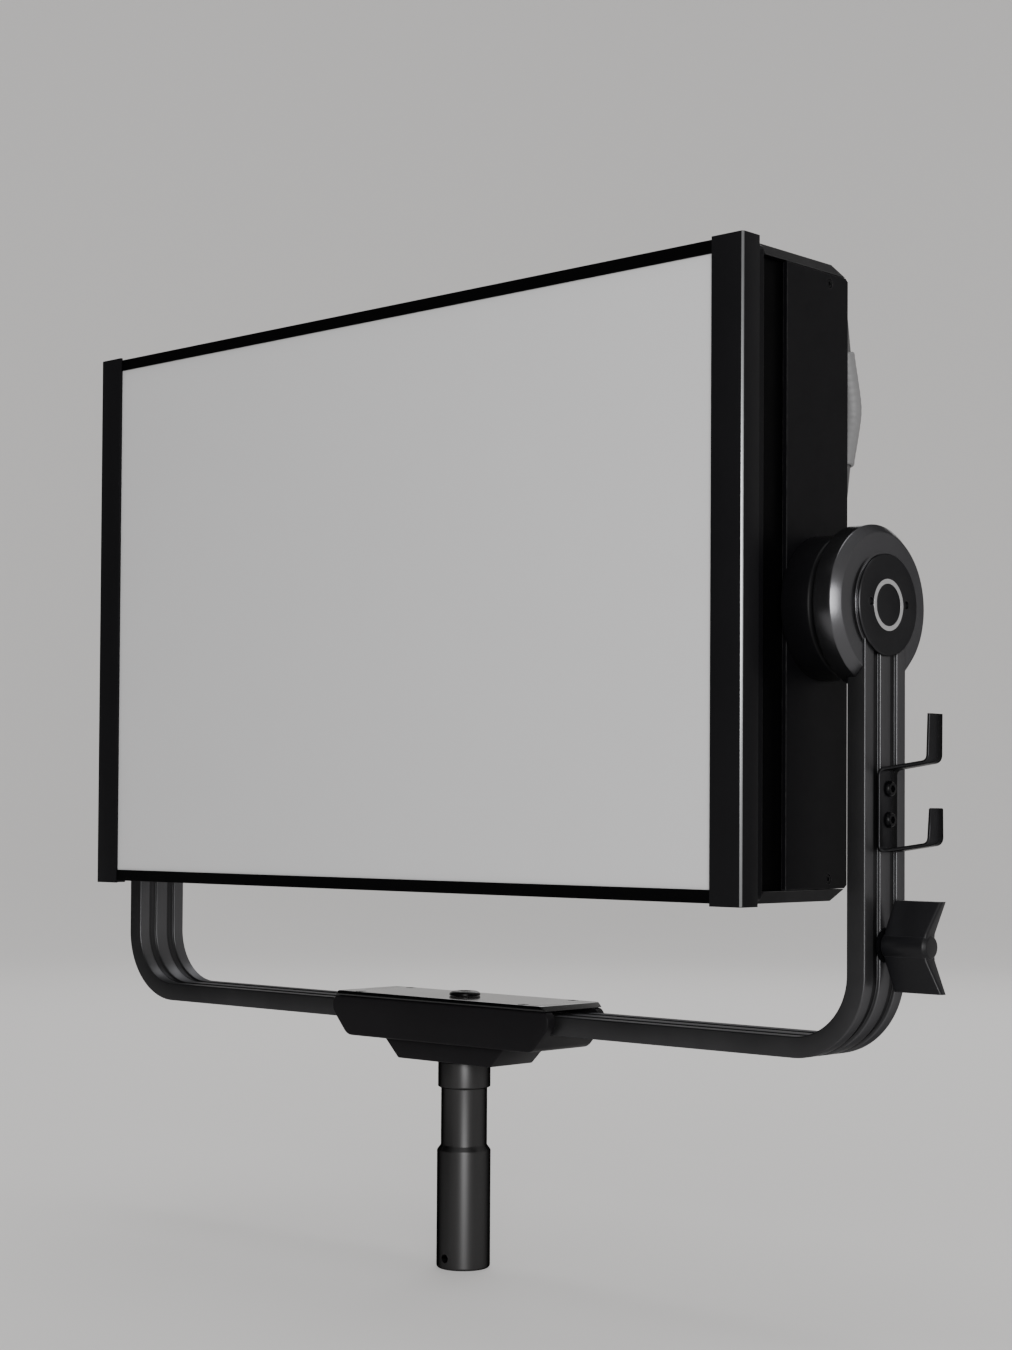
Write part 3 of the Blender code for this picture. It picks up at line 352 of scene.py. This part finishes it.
def make_back_looks():
    """Finishes of the handles and the controls."""
    surface("handle_alloy", (0.16, 0.161, 0.163), 0.3, metallic=0.95, cloud=0.06,
            grain=(0.6, 0.004))
    surface("soft_grip", (0.16, 0.16, 0.162), 0.5, specular=0.5, cloud=0.1, grain=(0.6, 0.015))
    # The edges of the panel and the inlet are lightened as wear and as a painted edge highlight.
    surface("panel_black", (0.004, 0.004, 0.0045), 0.36, specular=0.18, grain=(0.5, 0.012),
            wear=(0.4, 0.3, PALE_WORN_LIT_EDGE))
    surface("display_glass", (0.004, 0.005, 0.0075), 0.07, specular=0.5, cloud=0.3, rough_vary=0.03,
            coat=0.3, streaks=((1.1, 30, 30), 0.0003))
    surface("button_grey", (0.07, 0.07, 0.075), 0.55, specular=0.3, grain=(0.5, 0.02))
    surface("inlet_plastic", (0.005, 0.005, 0.0055), 0.4, specular=0.2, grain=(0.5, 0.015),
            wear=(0.4, 0.2, PALE_WORN_LIT_EDGE))
    surface("pale_ring", (0.5, 0.5, 0.51), 0.3, metallic=0.85, cloud=0.08,
            rings=(AXLE, 0.15, 0.004))


def make_stage_looks():
    """Finishes of what stands round the object."""
    surface("flag", (0.01, 0.01, 0.01), 0.9, specular=0.0, grain=(3.0, 0.1))
    surface("stage", (0.42, 0.414, 0.41), 0.9, specular=0.1, cloud=0.01, rough_vary=0.02,
            grain=(3.0, 0.05), glow=0.3)


# ---------------------------------------------------------------- mesh helpers

def skin(bm, loops, closed=False):
    """Join loops of vertices of equal length with quads."""
    pairs = list(zip(loops, loops[1:]))
    if closed:
        pairs.append((loops[-1], loops[0]))
    for low, high in pairs:
        for i in range(len(low)):
            j = (i + 1) % len(low)
            bm.faces.new((low[i], low[j], high[j], high[i]))


def loft(rows, closed=False):
    """A body through rows of points, with flat ends, or closed back on its first row."""
    bm = bmesh.new()
    loops = [[bm.verts.new(Vector(point) * MM) for point in row] for row in rows]
    skin(bm, loops, closed)
    if not closed:
        bm.faces.new(loops[0])
        bm.faces.new(loops[-1])
    return bm


def at(axis, level, pair):
    """The point with its two plane coordinates given in X, Y, Z order, and its axis last."""
    first, second, along = {"X": (1, 2, 0), "Y": (0, 2, 1), "Z": (0, 1, 2)}[axis]
    point = [0.0, 0.0, 0.0]
    point[first], point[second], point[along] = pair[0], pair[1], level
    return point


def prism(outline, axis, low, high):
    return loft([[at(axis, level, pair) for pair in outline] for level in (low, high)])


def block(x, y, z):
    """A box from its low and high ends along each axis."""
    return prism([(x[0], y[0]), (x[1], y[0]), (x[1], y[1]), (x[0], y[1])], "Z", *z)


def circle(radius, centre, segments):
    turns = (2 * math.pi * i / segments for i in range(segments))
    return [(centre[0] + radius * math.cos(t), centre[1] + radius * math.sin(t)) for t in turns]


def fillet(points, radius, steps=4, closed=True):
    """Round the corners of a line of 2D or 3D points."""
    points = [Vector(point) for point in points]
    made = []
    for index, corner in enumerate(points):
        if not closed and index in (0, len(points) - 1):
            made.append(corner)
            continue
        before = points[index - 1] - corner
        after = points[(index + 1) % len(points)] - corner
        reach = min(radius, 0.45 * before.length, 0.45 * after.length)
        start = corner + before.normalized() * reach
        end = corner + after.normalized() * reach
        for step in range(steps + 1):
            t = step / steps
            made.append(start * (1 - t) ** 2 + corner * 2 * t * (1 - t) + end * t * t)
    return made


def close_tips(bm, rows, rings):
    """Join the single vertices at both ends to their nearest rings."""
    for tip, ring in ((rows[0][0], rings[0]), (rows[-1][0], rings[-1])):
        for i in range(len(ring)):
            bm.faces.new((tip, ring[i], ring[(i + 1) % len(ring)]))


def turned(profile, axis, centre, segments=96, soft=0.0, bored=False):
    """A turned body from (radius, place along the axis) pairs with softened corners.

    A solid profile starts and ends on the axis; a bored one is a closed loop off it.
    """
    if soft > 0:
        profile = fillet(profile, soft, 3, closed=bored)
    bm = bmesh.new()
    rows = []
    for radius, level in profile:
        ring = circle(radius, centre, segments) if radius > 1e-6 else [centre]
        rows.append([bm.verts.new(Vector(at(axis, level, pair)) * MM) for pair in ring])
    rings = [row for row in rows if len(row) > 1]
    skin(bm, rings, closed=bored)
    if not bored:
        close_tips(bm, rows, rings)
    return bm


def rod(radius, axis, centre, low, high, segments=48):
    return prism(circle(radius, centre, segments), axis, low, high)


def soften_edges(bm, width, segments=3, angle=30.0):
    """Round the edges whose faces meet at more than the angle."""
    bmesh.ops.recalc_face_normals(bm, faces=bm.faces)
    sharp = [edge for edge in bm.edges
             if len(edge.link_faces) == 2 and edge.calc_face_angle() > math.radians(angle)]
    bmesh.ops.bevel(bm, geom=sharp, offset=width * MM, segments=segments, profile=0.5,
                    affect="EDGES", clamp_overlap=True)
    return bm


def mesh_object(name, bm):
    bmesh.ops.recalc_face_normals(bm, faces=bm.faces)
    mesh = bpy.data.meshes.new(name)
    bm.to_mesh(mesh)
    bm.free()
    made = bpy.data.objects.new(name, mesh)
    bpy.context.scene.collection.objects.link(made)
    return made


def combine(target, bm, operation="DIFFERENCE"):
    """Cut a shape out of an object, or join one to it, and keep the result as its mesh."""
    tool = mesh_object("tool", bm)
    step = target.modifiers.new("combine", "BOOLEAN")
    step.operation = operation
    step.solver = "EXACT"
    step.object = tool
    bake_modifiers(target)
    bpy.data.objects.remove(tool)


def bake_modifiers(target):
    bpy.context.view_layer.update()
    graph = bpy.context.evaluated_depsgraph_get()
    target.data = bpy.data.meshes.new_from_object(target.evaluated_get(graph))
    target.modifiers.clear()


def piece(made, slot, body, *nodes, crease=35.0, look=None):
    """Finish a new piece: shading, material, the body it rides on and the nodes it stands for.

    The finish is its slot's own, unless another look is named.
    """
    made.data.shade_smooth()
    made.data.set_sharp_from_angle(angle=math.radians(crease))
    made.data.materials.clear()
    made.data.materials.append(LOOKS[look or slot])
    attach(made, body)
    if nodes:
        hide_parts(*nodes)


def span(side, near, far):
    """Low and high ends of a stretch along X on one side."""
    return tuple(sorted((side * near, side * far)))


# ---------------------------------------------------------------- stage, light and camera

def direction(azimuth, elevation):
    """Unit vector from the object towards a place round it."""
    a, e = math.radians(azimuth), math.radians(elevation)
    return Vector((math.sin(a) * math.cos(e), -math.cos(a) * math.cos(e), math.sin(e)))


def make_stage():
    """A round floor that curves up into a wall, the same from every side."""
    profile = [(FLOOR_RADIUS, 0.0)]
    for step in range(1, 17):
        turn = math.radians(90 * step / 16)
        profile.append((FLOOR_RADIUS + SWEEP_RADIUS * math.sin(turn),
                        SWEEP_RADIUS * (1 - math.cos(turn))))
    profile.append((FLOOR_RADIUS + SWEEP_RADIUS, WALL_HEIGHT))
    bm = bmesh.new()
    loops = [[bm.verts.new(Vector((x, y, z)) * MM) for x, y in circle(radius, (0, 0), 96)]
             for radius, z in profile]
    skin(bm, loops)
    bm.faces.new(loops[0])
    floor = mesh_object("floor_sweep", bm)
    floor.data.flip_normals()
    floor.data.shade_smooth()
    floor.data.materials.append(LOOKS["stage"])


def add_light(name, azimuth, elevation, distance, size, power):
    """A rectangular soft light that looks at the object and can't be seen itself."""
    lamp = bpy.data.lights.new(name, "AREA")
    lamp.shape = "RECTANGLE"
    lamp.size, lamp.size_y = size[0] * MM, size[1] * MM
    lamp.energy = power
    made = bpy.data.objects.new(name, lamp)
    target = Vector(LIGHT_AIM) * MM
    made.location = target + direction(azimuth, elevation) * distance * MM
    made.rotation_euler = (target - made.location).to_track_quat("-Z", "Y").to_euler()
    made.visible_camera = False
    bpy.context.scene.collection.objects.link(made)


def make_light():
    world = bpy.data.worlds.new("studio")
    world.use_nodes = True
    backing = world.node_tree.nodes["Background"]
    backing.inputs["Color"].default_value = (1.0, 0.99, 0.985, 1)
    backing.inputs["Strength"].default_value = 0.5
    bpy.context.scene.world = world
    add_light("key", 44, 5.5, 2300, (560, 1000), 30)
    add_light("overhead", 0, 88, 2700, (1700, 1700), 26)
    add_light("edge", 56, 6, 2300, (240, 1000), 8)
    add_light("rear", 215, 35, 2300, (1500, 1500), 18)


def make_flag():
    """A dark sheet off to the front left, unseen itself, that keeps the front faces dark."""
    bm = prism([(-1200, 0), (1200, 0), (1200, 12), (-1200, 12)], "Z", 0, 2400)
    sheet = mesh_object("flag", bm)
    sheet.location = direction(-44, 0) * 2100 * MM
    sheet.rotation_euler = (0, 0, math.radians(-44))
    sheet.visible_camera = False
    sheet.data.materials.append(LOOKS["flag"])


def make_camera():
    camera = bpy.data.cameras.new("camera")
    camera.sensor_width = 36.0
    camera.lens = CAMERA_LENS
    camera.shift_y = CAMERA_SHIFT_Y
    camera.clip_start, camera.clip_end = 0.05, 60.0
    made = bpy.data.objects.new("camera", camera)
    ahead = -direction(CAMERA_AZIMUTH, -CAMERA_PITCH)
    right = ahead.cross(Vector((0, 0, 1))).normalized()
    up = right.cross(ahead)
    roll = math.radians(CAMERA_ROLL)
    right, up = (right * math.cos(roll) + up * math.sin(roll),
                 up * math.cos(roll) - right * math.sin(roll))
    turn = Matrix((right, up, -ahead)).transposed().to_4x4()
    made.matrix_world = Matrix.Translation(Vector(CAMERA_AT) * MM) @ turn
    bpy.context.scene.collection.objects.link(made)
    bpy.context.scene.camera = made


# ---------------------------------------------------------------- CAD nodes that stay

def dress_nodes():
    """Give every CAD node its finish, and round the edges of those named in NODE_EDGES.

    The finish is its slot's own, unless NODE_LOOKS names another for the node.
    """
    for name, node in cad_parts.items():
        for slot in node.material_slots:
            slot.material = LOOKS[NODE_LOOKS.get(name, slot.material.name)]
        if name in NODE_EDGES:
            weld = node.modifiers.new("weld", "WELD")
            weld.merge_threshold = 0.01 * MM
            bevel = node.modifiers.new("bevel", "BEVEL")
            bevel.width = NODE_EDGES[name] * MM
            bevel.segments = 3
            bevel.limit_method = "ANGLE"
            bevel.angle_limit = math.radians(30)
            even = node.modifiers.new("even", "WEIGHTED_NORMAL")
            even.keep_sharp = True


# ---------------------------------------------------------------- head, front

def make_end_bars():
    """Upright extrusions with a bright cut chamfer along their outer front corner."""
    web_in, lip_back = HEAD_HALF_W - BEZEL_WEB, FRONT_Y + BEZEL_LIP
    section = [(OPENING_HALF_W, FRONT_Y), (HEAD_HALF_W - BEZEL_CUT, FRONT_Y),
               (HEAD_HALF_W, FRONT_Y + BEZEL_CUT), (HEAD_HALF_W, BEZEL_BACK_Y),
               (web_in, BEZEL_BACK_Y), (web_in, lip_back), (OPENING_HALF_W, lip_back)]
    wide, inset, deep = BEZEL_CUT - 0.2, 0.05, 0.5
    strip = [(HEAD_HALF_W - wide, FRONT_Y + inset), (HEAD_HALF_W - inset, FRONT_Y + wide),
             (HEAD_HALF_W - deep, FRONT_Y + wide + 0.1), (HEAD_HALF_W - wide - 0.1, FRONT_Y + deep)]
    low, high = HEAD_Z - HEAD_HALF_H, HEAD_Z + HEAD_HALF_H
    for word, side in (("right", 1), ("left", -1)):
        body = prism([(side * x, y) for x, y in section], "Z", low, high)
        bar = mesh_object(f"bezel_bar_{word}", soften_edges(body, 0.12, 2, 30))
        piece(bar, "bezel_black", "head", f"end_bar_{word}", crease=28)
        body = prism([(side * x, y) for x, y in strip], "Z", low + 0.2, high - 0.2)
        shine = mesh_object(f"bezel_edge_{word}", soften_edges(body, 0.08, 2, 60))
        piece(shine, "cut_edge", "head", crease=28)


# ---------------------------------------------------------------- yoke and what it carries

def make_yoke():
    """The grooved bar, bent into a U along a smooth line."""
    half_t, half_w = YOKE_THICK / 2, YOKE_WIDTH / 2
    rib_in, rib_out, slant = 4.0, 9.5, 0.35

    def groove(depth):
        return [(half_t, rib_out), (half_t - depth, rib_out - slant),
                (half_t - depth, rib_in + slant), (half_t, rib_in)]

    corner = [(half_t - YOKE_EDGE, half_w), (half_t, half_w - YOKE_EDGE)]
    front_out, front_in = corner + groove(1.6), corner + groove(1.2)
    section = front_out + [(u, -v) for u, v in reversed(front_out)]
    section += [(-u, -v) for u, v in front_in]
    section += [(-u, v) for u, v in reversed(front_in)]
    section = fillet(section, 0.45, 3)

    middle = YOKE_OUT - half_t
    low = YOKE_LOW_Z + half_t
    bend_x, bend_z = middle - YOKE_BEND, low + YOKE_BEND
    steps = 40
    stations = [((-middle, ARM_TOP_Z), (-1.0, 0.0))]
    for side, start in ((-1, 180), (1, 270)):
        for step in range(steps + 1):
            turn = math.radians(start + 90 * step / steps)
            out = (math.cos(turn), math.sin(turn))
            place = (side * bend_x + YOKE_BEND * out[0], bend_z + YOKE_BEND * out[1])
            stations.append((place, out))
    stations.append(((middle, ARM_TOP_Z), (1.0, 0.0)))
    rows = [[(x + out_x * u, v, z + out_z * u) for u, v in section]
            for (x, z), (out_x, out_z) in stations]
    piece(mesh_object("yoke_bar", loft(rows)), "yoke_coating", "yoke_frame", "yoke")


def make_tilt_joint(word, side):
    """Hub on the head, notched disc on the arm, and its cap with a pale ring."""
    centre = (0, TILT_Z)

    def lathe(profile, soft, bored=True):
        return turned([(r, side * x) for r, x in profile], "X", centre, 128, soft, bored)

    hub = [(AXLE_BORE, HUB_IN), (HUB_RADIUS, HUB_IN), (HUB_RADIUS, HUB_OUT - 2.4),
           (HUB_RADIUS - 3, HUB_OUT), (AXLE_BORE, HUB_OUT)]
    hub = mesh_object(f"hub_{word}", lathe(hub, 0.6))
    piece(hub, "frame_black", "head", f"tilt_hub_{word}", look="hub_black")

    disc = [(AXLE_BORE, DISC_IN), (DISC_RADIUS - 0.8, DISC_IN), (DISC_RADIUS, DISC_IN + 0.8),
            (DISC_RADIUS, DISC_OUT - 4), (DISC_RADIUS - 4, DISC_OUT), (24.1, DISC_OUT),
            (23.3, DISC_OUT + 0.3), (23.3, YOKE_OUT), (AXLE_BORE, YOKE_OUT)]
    disc = mesh_object(f"disc_{word}", lathe(disc, 0.5))
    notch = span(side, YOKE_OUT - YOKE_THICK - YOKE_GAP, YOKE_OUT + 5)
    reach = YOKE_WIDTH / 2 + YOKE_GAP
    combine(disc, block(notch, (-reach, reach), (TILT_Z - 50, ARM_TOP_Z + YOKE_GAP)))
    piece(disc, "dark_anodised", "yoke_frame", f"tilt_disc_{word}", crease=30)

    seat = YOKE_OUT + YOKE_GAP
    cap = [(0, 265.0), (AXLE_BORE, 265.0), (AXLE_BORE, 256.3), (10, 256.3), (10, seat),
           (CAP_RADIUS, seat), (CAP_RADIUS, CAP_OUT - 0.5), (CAP_RADIUS - 0.5, CAP_OUT),
           (12.1, CAP_OUT), (12.0, CAP_OUT - 0.35), (9.7, CAP_OUT - 0.35), (9.6, CAP_OUT),
           (0, CAP_OUT)]
    cap = mesh_object(f"cap_{word}", lathe(cap, 0.15, False))
    depth = span(side, CAP_OUT - 0.8, CAP_OUT + 2)
    for y in (-CAP_HOLE_Y, CAP_HOLE_Y):
        combine(cap, rod(CAP_HOLE_RADIUS, "X", (y, TILT_Z + CAP_HOLE_LIFT), *depth))
    piece(cap, "cap_anodised", "yoke_frame", f"tilt_cap_{word}", crease=30)
    ring = [(9.75, CAP_OUT - 0.45), (11.95, CAP_OUT - 0.45), (11.95, CAP_OUT - 0.1),
            (9.75, CAP_OUT - 0.1)]
    piece(mesh_object(f"cap_ring_{word}", lathe(ring, 0.08)), "pale_ring", "yoke_frame")


def hook_row(point, along, half):
    """Corners of the strip's section, with its four long edges cut by a small inset."""
    out = along.cross(Vector((0, 1, 0))) * HOOK_THICK / 2
    side = Vector((0, half, 0))
    inset = 0.22
    thinner = 1 - 2 * inset / HOOK_THICK
    row = []
    for a, b in ((1, 1), (-1, 1), (-1, -1), (1, -1)):
        near, far = side * b * (half - inset) / half, side * b
        on_face = point + out * a + near
        on_side = point + out * a * thinner + far
        row += [on_face, on_side] if a * b > 0 else [on_side, on_face]
    return row


def make_hooks():
    """One folded strip: a plate on the arm with a hook above and a hook below."""
    plate_x, tip_x = YOKE_OUT + YOKE_GAP + HOOK_THICK / 2, 292.4
    line = [(tip_x, 0, 287.6), (tip_x - 0.4, 0, 266.1), (plate_x, 0, 262.6), (plate_x, 0, 225.1),
            (tip_x + 0.2, 0, 228.9), (tip_x + 0.6, 0, 245.0)]
    path = fillet(line, 3.0, 8, closed=False)
    # rows close to both tips round them; the upper ones run down half a millimetre and back
    upper, lower = path[0], path[-1]
    first = upper.lerp(path[1], 0.03)
    second = upper.lerp(first, 0.08)
    path[1:1] = [first, second, upper.lerp(second, 0.16)]
    for share in (0.04, 0.1, 0.2):
        path.insert(-1, lower.lerp(path[-2], share))
    arc = [0.0]
    for before, after in zip(path, path[1:]):
        arc.append(arc[-1] + (after - before).length)
    rows = []
    last = len(path) - 1
    for index, point in enumerate(path):
        along = (path[min(index + 1, last)] - path[max(index - 1, 0)]).normalized()
        from_plate = max(0.0, min(1.0, (point.x - plate_x - 1.0) / 4))
        half = 7.3 - 1.5 * from_plate
        to_end = min(arc[index], arc[-1] - arc[index])
        if to_end < 3.0:
            half -= 1.7 * (1 - math.sqrt(1 - (1 - to_end / 3.0) ** 2))
        rows.append(hook_row(point, along, half))
    piece(mesh_object("hook_strip", loft(rows)), "bracket_black", "yoke_frame", "hook_bracket",
          crease=50)


def make_wing(way):
    """A wing that gets thinner upwards or downwards from the hub and leans out."""
    rows = []
    steps = 14
    for step in range(steps + 1):
        t = step / steps
        z = 2.0 + 18.8 * t
        spread = max(0.0, (z - 6.0) / 14.8)
        near = KNOB_IN + 4.4 * spread
        far = 290.0 + 0.6 * min(1.0, t * 4.7) + 6.8 * spread
        half_t = 4.6 - 2.3 * max(0.0, (z - 2.0) / 18.8) ** 0.8
        corners = [(near, -half_t), (far, -half_t), (far, half_t), (near, half_t)]
        rows.append([at("Z", KNOB_Z + way * z, pair) for pair in fillet(corners, 1.6, 4)])
    return loft(rows)


def make_wing_knob():
    """A round hub, bored for the stud, with a wing above and a wing below."""
    centre = (0, KNOB_Z)
    hub = [(0, KNOB_BORE_END), (KNOB_BORE, KNOB_BORE_END), (KNOB_BORE, KNOB_IN), (6.2, KNOB_IN),
           (6.2, KNOB_OUT - 1.6), (4.6, KNOB_OUT), (0, KNOB_OUT)]
    knob = mesh_object("wing_knob_body", turned(hub, "X", centre, 64, 0.4))
    for way in (1, -1):
        combine(knob, make_wing(way), "UNION")
    combine(knob, rod(KNOB_BORE, "X", centre, KNOB_IN - 1, KNOB_BORE_END))
    piece(knob, "black_nylon", "wing_knob", "wing_knob", crease=38)


def make_saddle():
    """Block with a channel for the cross bar, on a smaller foot."""
    end = SADDLE_HALF_L
    top = PLATE_LOW_Z - 0.2
    outline = [(end, 133.0), (end, 138.0), (end - 2.3, top), (2.3 - end, top), (-end, 138.0),
               (-end, 133.0), (-68.0, SADDLE_STEP_Z), (68.0, SADDLE_STEP_Z)]
    body = prism(fillet(outline, 3.4, 5), "Y", -SADDLE_HALF_W, SADDLE_HALF_W)
    saddle = mesh_object("saddle_block", soften_edges(body, 1.1, 4, 60))
    half = YOKE_WIDTH / 2
    foot = [(45.0, SADDLE_STEP_Z + 0.5), (-45.0, SADDLE_STEP_Z + 0.5), (-34.0, SADDLE_LOW_Z),
            (34.0, SADDLE_LOW_Z)]
    combine(saddle, soften_edges(prism(foot, "Y", -half, half), 0.8, 3), "UNION")
    channel = (-half - YOKE_GAP, half + YOKE_GAP)
    combine(saddle, block((-100, 100), channel, (YOKE_LOW_Z - YOKE_GAP, 160)))
    combine(saddle, rod(BOLT_BORE, "Z", (0, 0), 100, 150))
    piece(saddle, "saddle_coating", "yoke_frame", "saddle", crease=25)


def make_saddle_plate():
    """The plate over the saddle, sunk for its screws."""
    end = SADDLE_HALF_L
    outline = [(end - 2.3, PLATE_LOW_Z), (end - 4.6, PLATE_TOP_Z), (4.6 - end, PLATE_TOP_Z),
               (2.3 - end, PLATE_LOW_Z)]
    body = prism(outline, "Y", -SADDLE_HALF_W, SADDLE_HALF_W)
    plate = mesh_object("top_plate", soften_edges(body, 0.5, 3, 20))
    for place in PLATE_SCREWS.values():
        combine(plate, rod(2.9, "Z", place, PLATE_TOP_Z - 1.9, PLATE_TOP_Z + 2))
    piece(plate, "plate_black", "yoke_frame", "saddle_plate", crease=25)


def make_spigot():
    """Turned stand pin with a neck, a collar and a clip bore."""
    radius, neck, collar, top = SPIGOT_RADIUS, SPIGOT_RADIUS - 2, 14, SPIGOT_TOP_Z
    profile = [(0, 0), (radius - 1, 0), (radius, 1), (radius, 62.4), (neck, 65), (neck, 95.2),
               (collar, 96), (collar, top), (BOLT_BORE, top), (BOLT_BORE, 100), (0, 100)]
    pin = mesh_object("stand_pin", turned(profile, "Z", (0, 0), 128, 0.45))
    combine(pin, rod(2.3, "Y", (0, 6.0), -20, 20))
    piece(pin, "spigot_black", "yoke_frame", "spigot")


# ---------------------------------------------------------------- screws

def make_screw(name, node, body, axis, centre, seat, top, radius, socket, domed):
    """A screw head with a hexagon socket; seat and top are places along its axis."""
    way = 1 if top > seat else -1
    height = abs(top - seat)
    shoulder = seat + way * height * (0.45 if domed else 0.8)
    profile = [(0, seat), (radius, seat), (radius, shoulder)]
    if domed:
        profile += [(radius * 0.93, seat + way * height * 0.72), (radius * 0.78, top)]
    else:
        profile.append((radius - 0.25, top))
    profile.append((0, top))
    head = mesh_object(name, turned(profile, axis, centre, 48, 0.15))
    depth = min(0.75 * height, 1.3)
    low, high = sorted((top - way * depth, top + way * 2))
    combine(head, prism(circle(socket, centre, 6), axis, low, high))
    piece(head, "black_screw", body, node, crease=30)


def make_screws():
    for word, side in (("right", 1), ("left", -1)):
        for place, way in (("upper", 1), ("lower", -1)):
            make_screw(f"case_screw_{word}_{place}", f"side_screw_{word}_{place}", "head", "X",
                       (CASE_SCREW_Y, HEAD_Z + way * CASE_SCREW_Z), side * 230.1, side * 230.8,
                       2.1, 1.1, False)
    for word, place in PLATE_SCREWS.items():
        make_screw(f"cover_screw_{word}", f"plate_screw_{word}", "yoke_frame", "Z", place,
                   142.3, 143.8, 2.6, 1.4, False)
    for name, z in HOOK_SCREWS:
        make_screw(f"strip_screw_{name}", f"hook_screw_{name}", "yoke_frame", "X", (0, z),
                   267.8, 270.1, 3.6, 1.8, True)
    make_screw("main_bolt", "centre_bolt", "yoke_frame", "Z", (0, 0), 144.2, 146.5, 8.3, 3.6, True)


# ---------------------------------------------------------------- back of the head

def smooth_path(points, steps):
    """Points of a Catmull-Rom curve through the given points."""
    ends = [2 * points[0] - points[1]] + points + [2 * points[-1] - points[-2]]
    path = []
    for a, b, c, d in zip(ends, ends[1:], ends[2:], ends[3:]):
        for step in range(steps):
            t = step / steps
            path.append(0.5 * (2 * b + (c - a) * t + (2 * a - 5 * b + 4 * c - d) * t * t
                               + (3 * b - a - 3 * c + d) * t ** 3))
    path.append(points[-1])
    return path


def sweep(path, half_sizes, sides=28):
    """Rows of an oval section along a path that stays in one plane across X."""
    rows = []
    last = len(path) - 1
    for index, (point, (half_w, half_t)) in enumerate(zip(path, half_sizes)):
        ahead = path[min(index + 1, last)] - path[max(index - 1, 0)]
        lift = Vector((1, 0, 0)).cross(ahead.normalized())
        rows.append([point + Vector((half_w * math.cos(t), 0, 0)) + lift * half_t * math.sin(t)
                     for t in (2 * math.pi * (i + 0.5) / sides for i in range(sides))])
    return rows


def make_handle(word, side):
    """A bowed bar with flared feet and a ribbed sleeve over its middle."""
    reach = HANDLE_HALF_H
    half = [(BACK_Y + 0.6, reach), (24, reach), (30, reach), (34.2, reach - 2),
            (36.6, reach - 7.5), (38.2, reach - 16.5), (40, reach - 26.5), (43, reach - 37.5),
            (45.2, reach - 46.5), (45.75, 0)]
    profile = half + [(y, -z) for y, z in reversed(half[:-1])]
    points = [Vector((side * HANDLE_X, y, HANDLE_Z + z)) for y, z in profile]
    path = smooth_path(points, 8)
    last = len(path) - 1
    sizes = []
    for index in range(len(path)):
        flare = 1 + 0.5 * max(0.0, 1 - min(index, last - index) / 12) ** 2
        sizes.append([size * flare for size in HANDLE_HALF_SIZE])
    bar = mesh_object(f"carry_bar_{word}", loft(sweep(path, sizes)))
    piece(bar, "handle_alloy", "head", f"handle_{word}", crease=40)
    make_grip(word, smooth_path(points, 24))


def make_grip(word, path):
    """The sleeve: a tube over the middle of the path, with fine ribs and rounded ends."""
    path = [point for point in path if abs(point.z - HANDLE_Z) < GRIP_HALF_H]
    outside = []
    for point in path:
        from_end = GRIP_HALF_H - abs(point.z - HANDLE_Z)
        rib = 0.1 * (0.5 + 0.5 * math.cos(2 * math.pi * (point.z - HANDLE_Z) / 3.5))
        lip = 0.9 * max(0.0, 1 - from_end / 1.5) ** 2
        outside.append([size - rib - lip for size in GRIP_HALF_SIZE])
    inside = [GRIP_BORE_HALF_SIZE] * len(path)
    rows = sweep(path, outside) + sweep(path, inside)[::-1]
    sleeve = mesh_object(f"grip_sleeve_{word}", loft(rows, closed=True))
    piece(sleeve, "soft_grip", "head", f"handle_grip_{word}", crease=60)


def make_encoder(name, x, node):
    """A turning knob with a fluted side and a pale index line on its face."""
    face = PANEL_FACE_Y
    profile = fillet([(0, 8), (3, 8), (3, face + 0.3), (9, face + 0.3), (9, face + 10),
                      (8, face + 11.6), (6.6, face + 11.6), (6.2, face + 11.2), (0, face + 11.2)],
                     0.35, 3, closed=False)
    segments, flutes = 144, 36
    bm = bmesh.new()
    rows = []
    for radius, level in profile:
        if radius < 1e-6:
            rows.append([bm.verts.new(Vector((x, level, KNOB_ROW_Z)) * MM)])
            continue
        depth = 0.22 if radius > 8.6 and level > face + 1 else 0.0
        ring = []
        for i in range(segments):
            t = 2 * math.pi * i / segments
            r = radius - depth * (0.5 + 0.5 * math.cos(flutes * t))
            place = (x + r * math.cos(t), level, KNOB_ROW_Z + r * math.sin(t))
            ring.append(bm.verts.new(Vector(place) * MM))
        rows.append(ring)
    rings = [row for row in rows if len(row) > 1]
    skin(bm, rings)
    close_tips(bm, rows, rings)
    piece(mesh_object(f"{name}_cap", bm), "black_nylon", node, node, crease=40)
    mark = block((x - 0.45, x + 0.45), (face + 11.1, face + 11.32),
                 (KNOB_ROW_Z + 2.4, KNOB_ROW_Z + 5.6))
    piece(mesh_object(f"{name}_mark", soften_edges(mark, 0.08, 2)), "pale_ring", node)


# ---------------------------------------------------------------- the scene

make_head_looks()
make_joint_looks()
make_yoke_looks()
make_back_looks()
make_stage_looks()
make_camera()
make_stage()
make_flag()
make_light()
dress_nodes()
make_end_bars()
make_yoke()
for word, side in (("right", 1), ("left", -1)):
    make_tilt_joint(word, side)
make_hooks()
make_wing_knob()
make_saddle()
make_saddle_plate()
make_spigot()
make_screws()
for word, side in (("right", 1), ("left", -1)):
    make_handle(word, side)
make_encoder("menu", -26.0, "menu_knob")
make_encoder("level", -56.0, "level_knob")
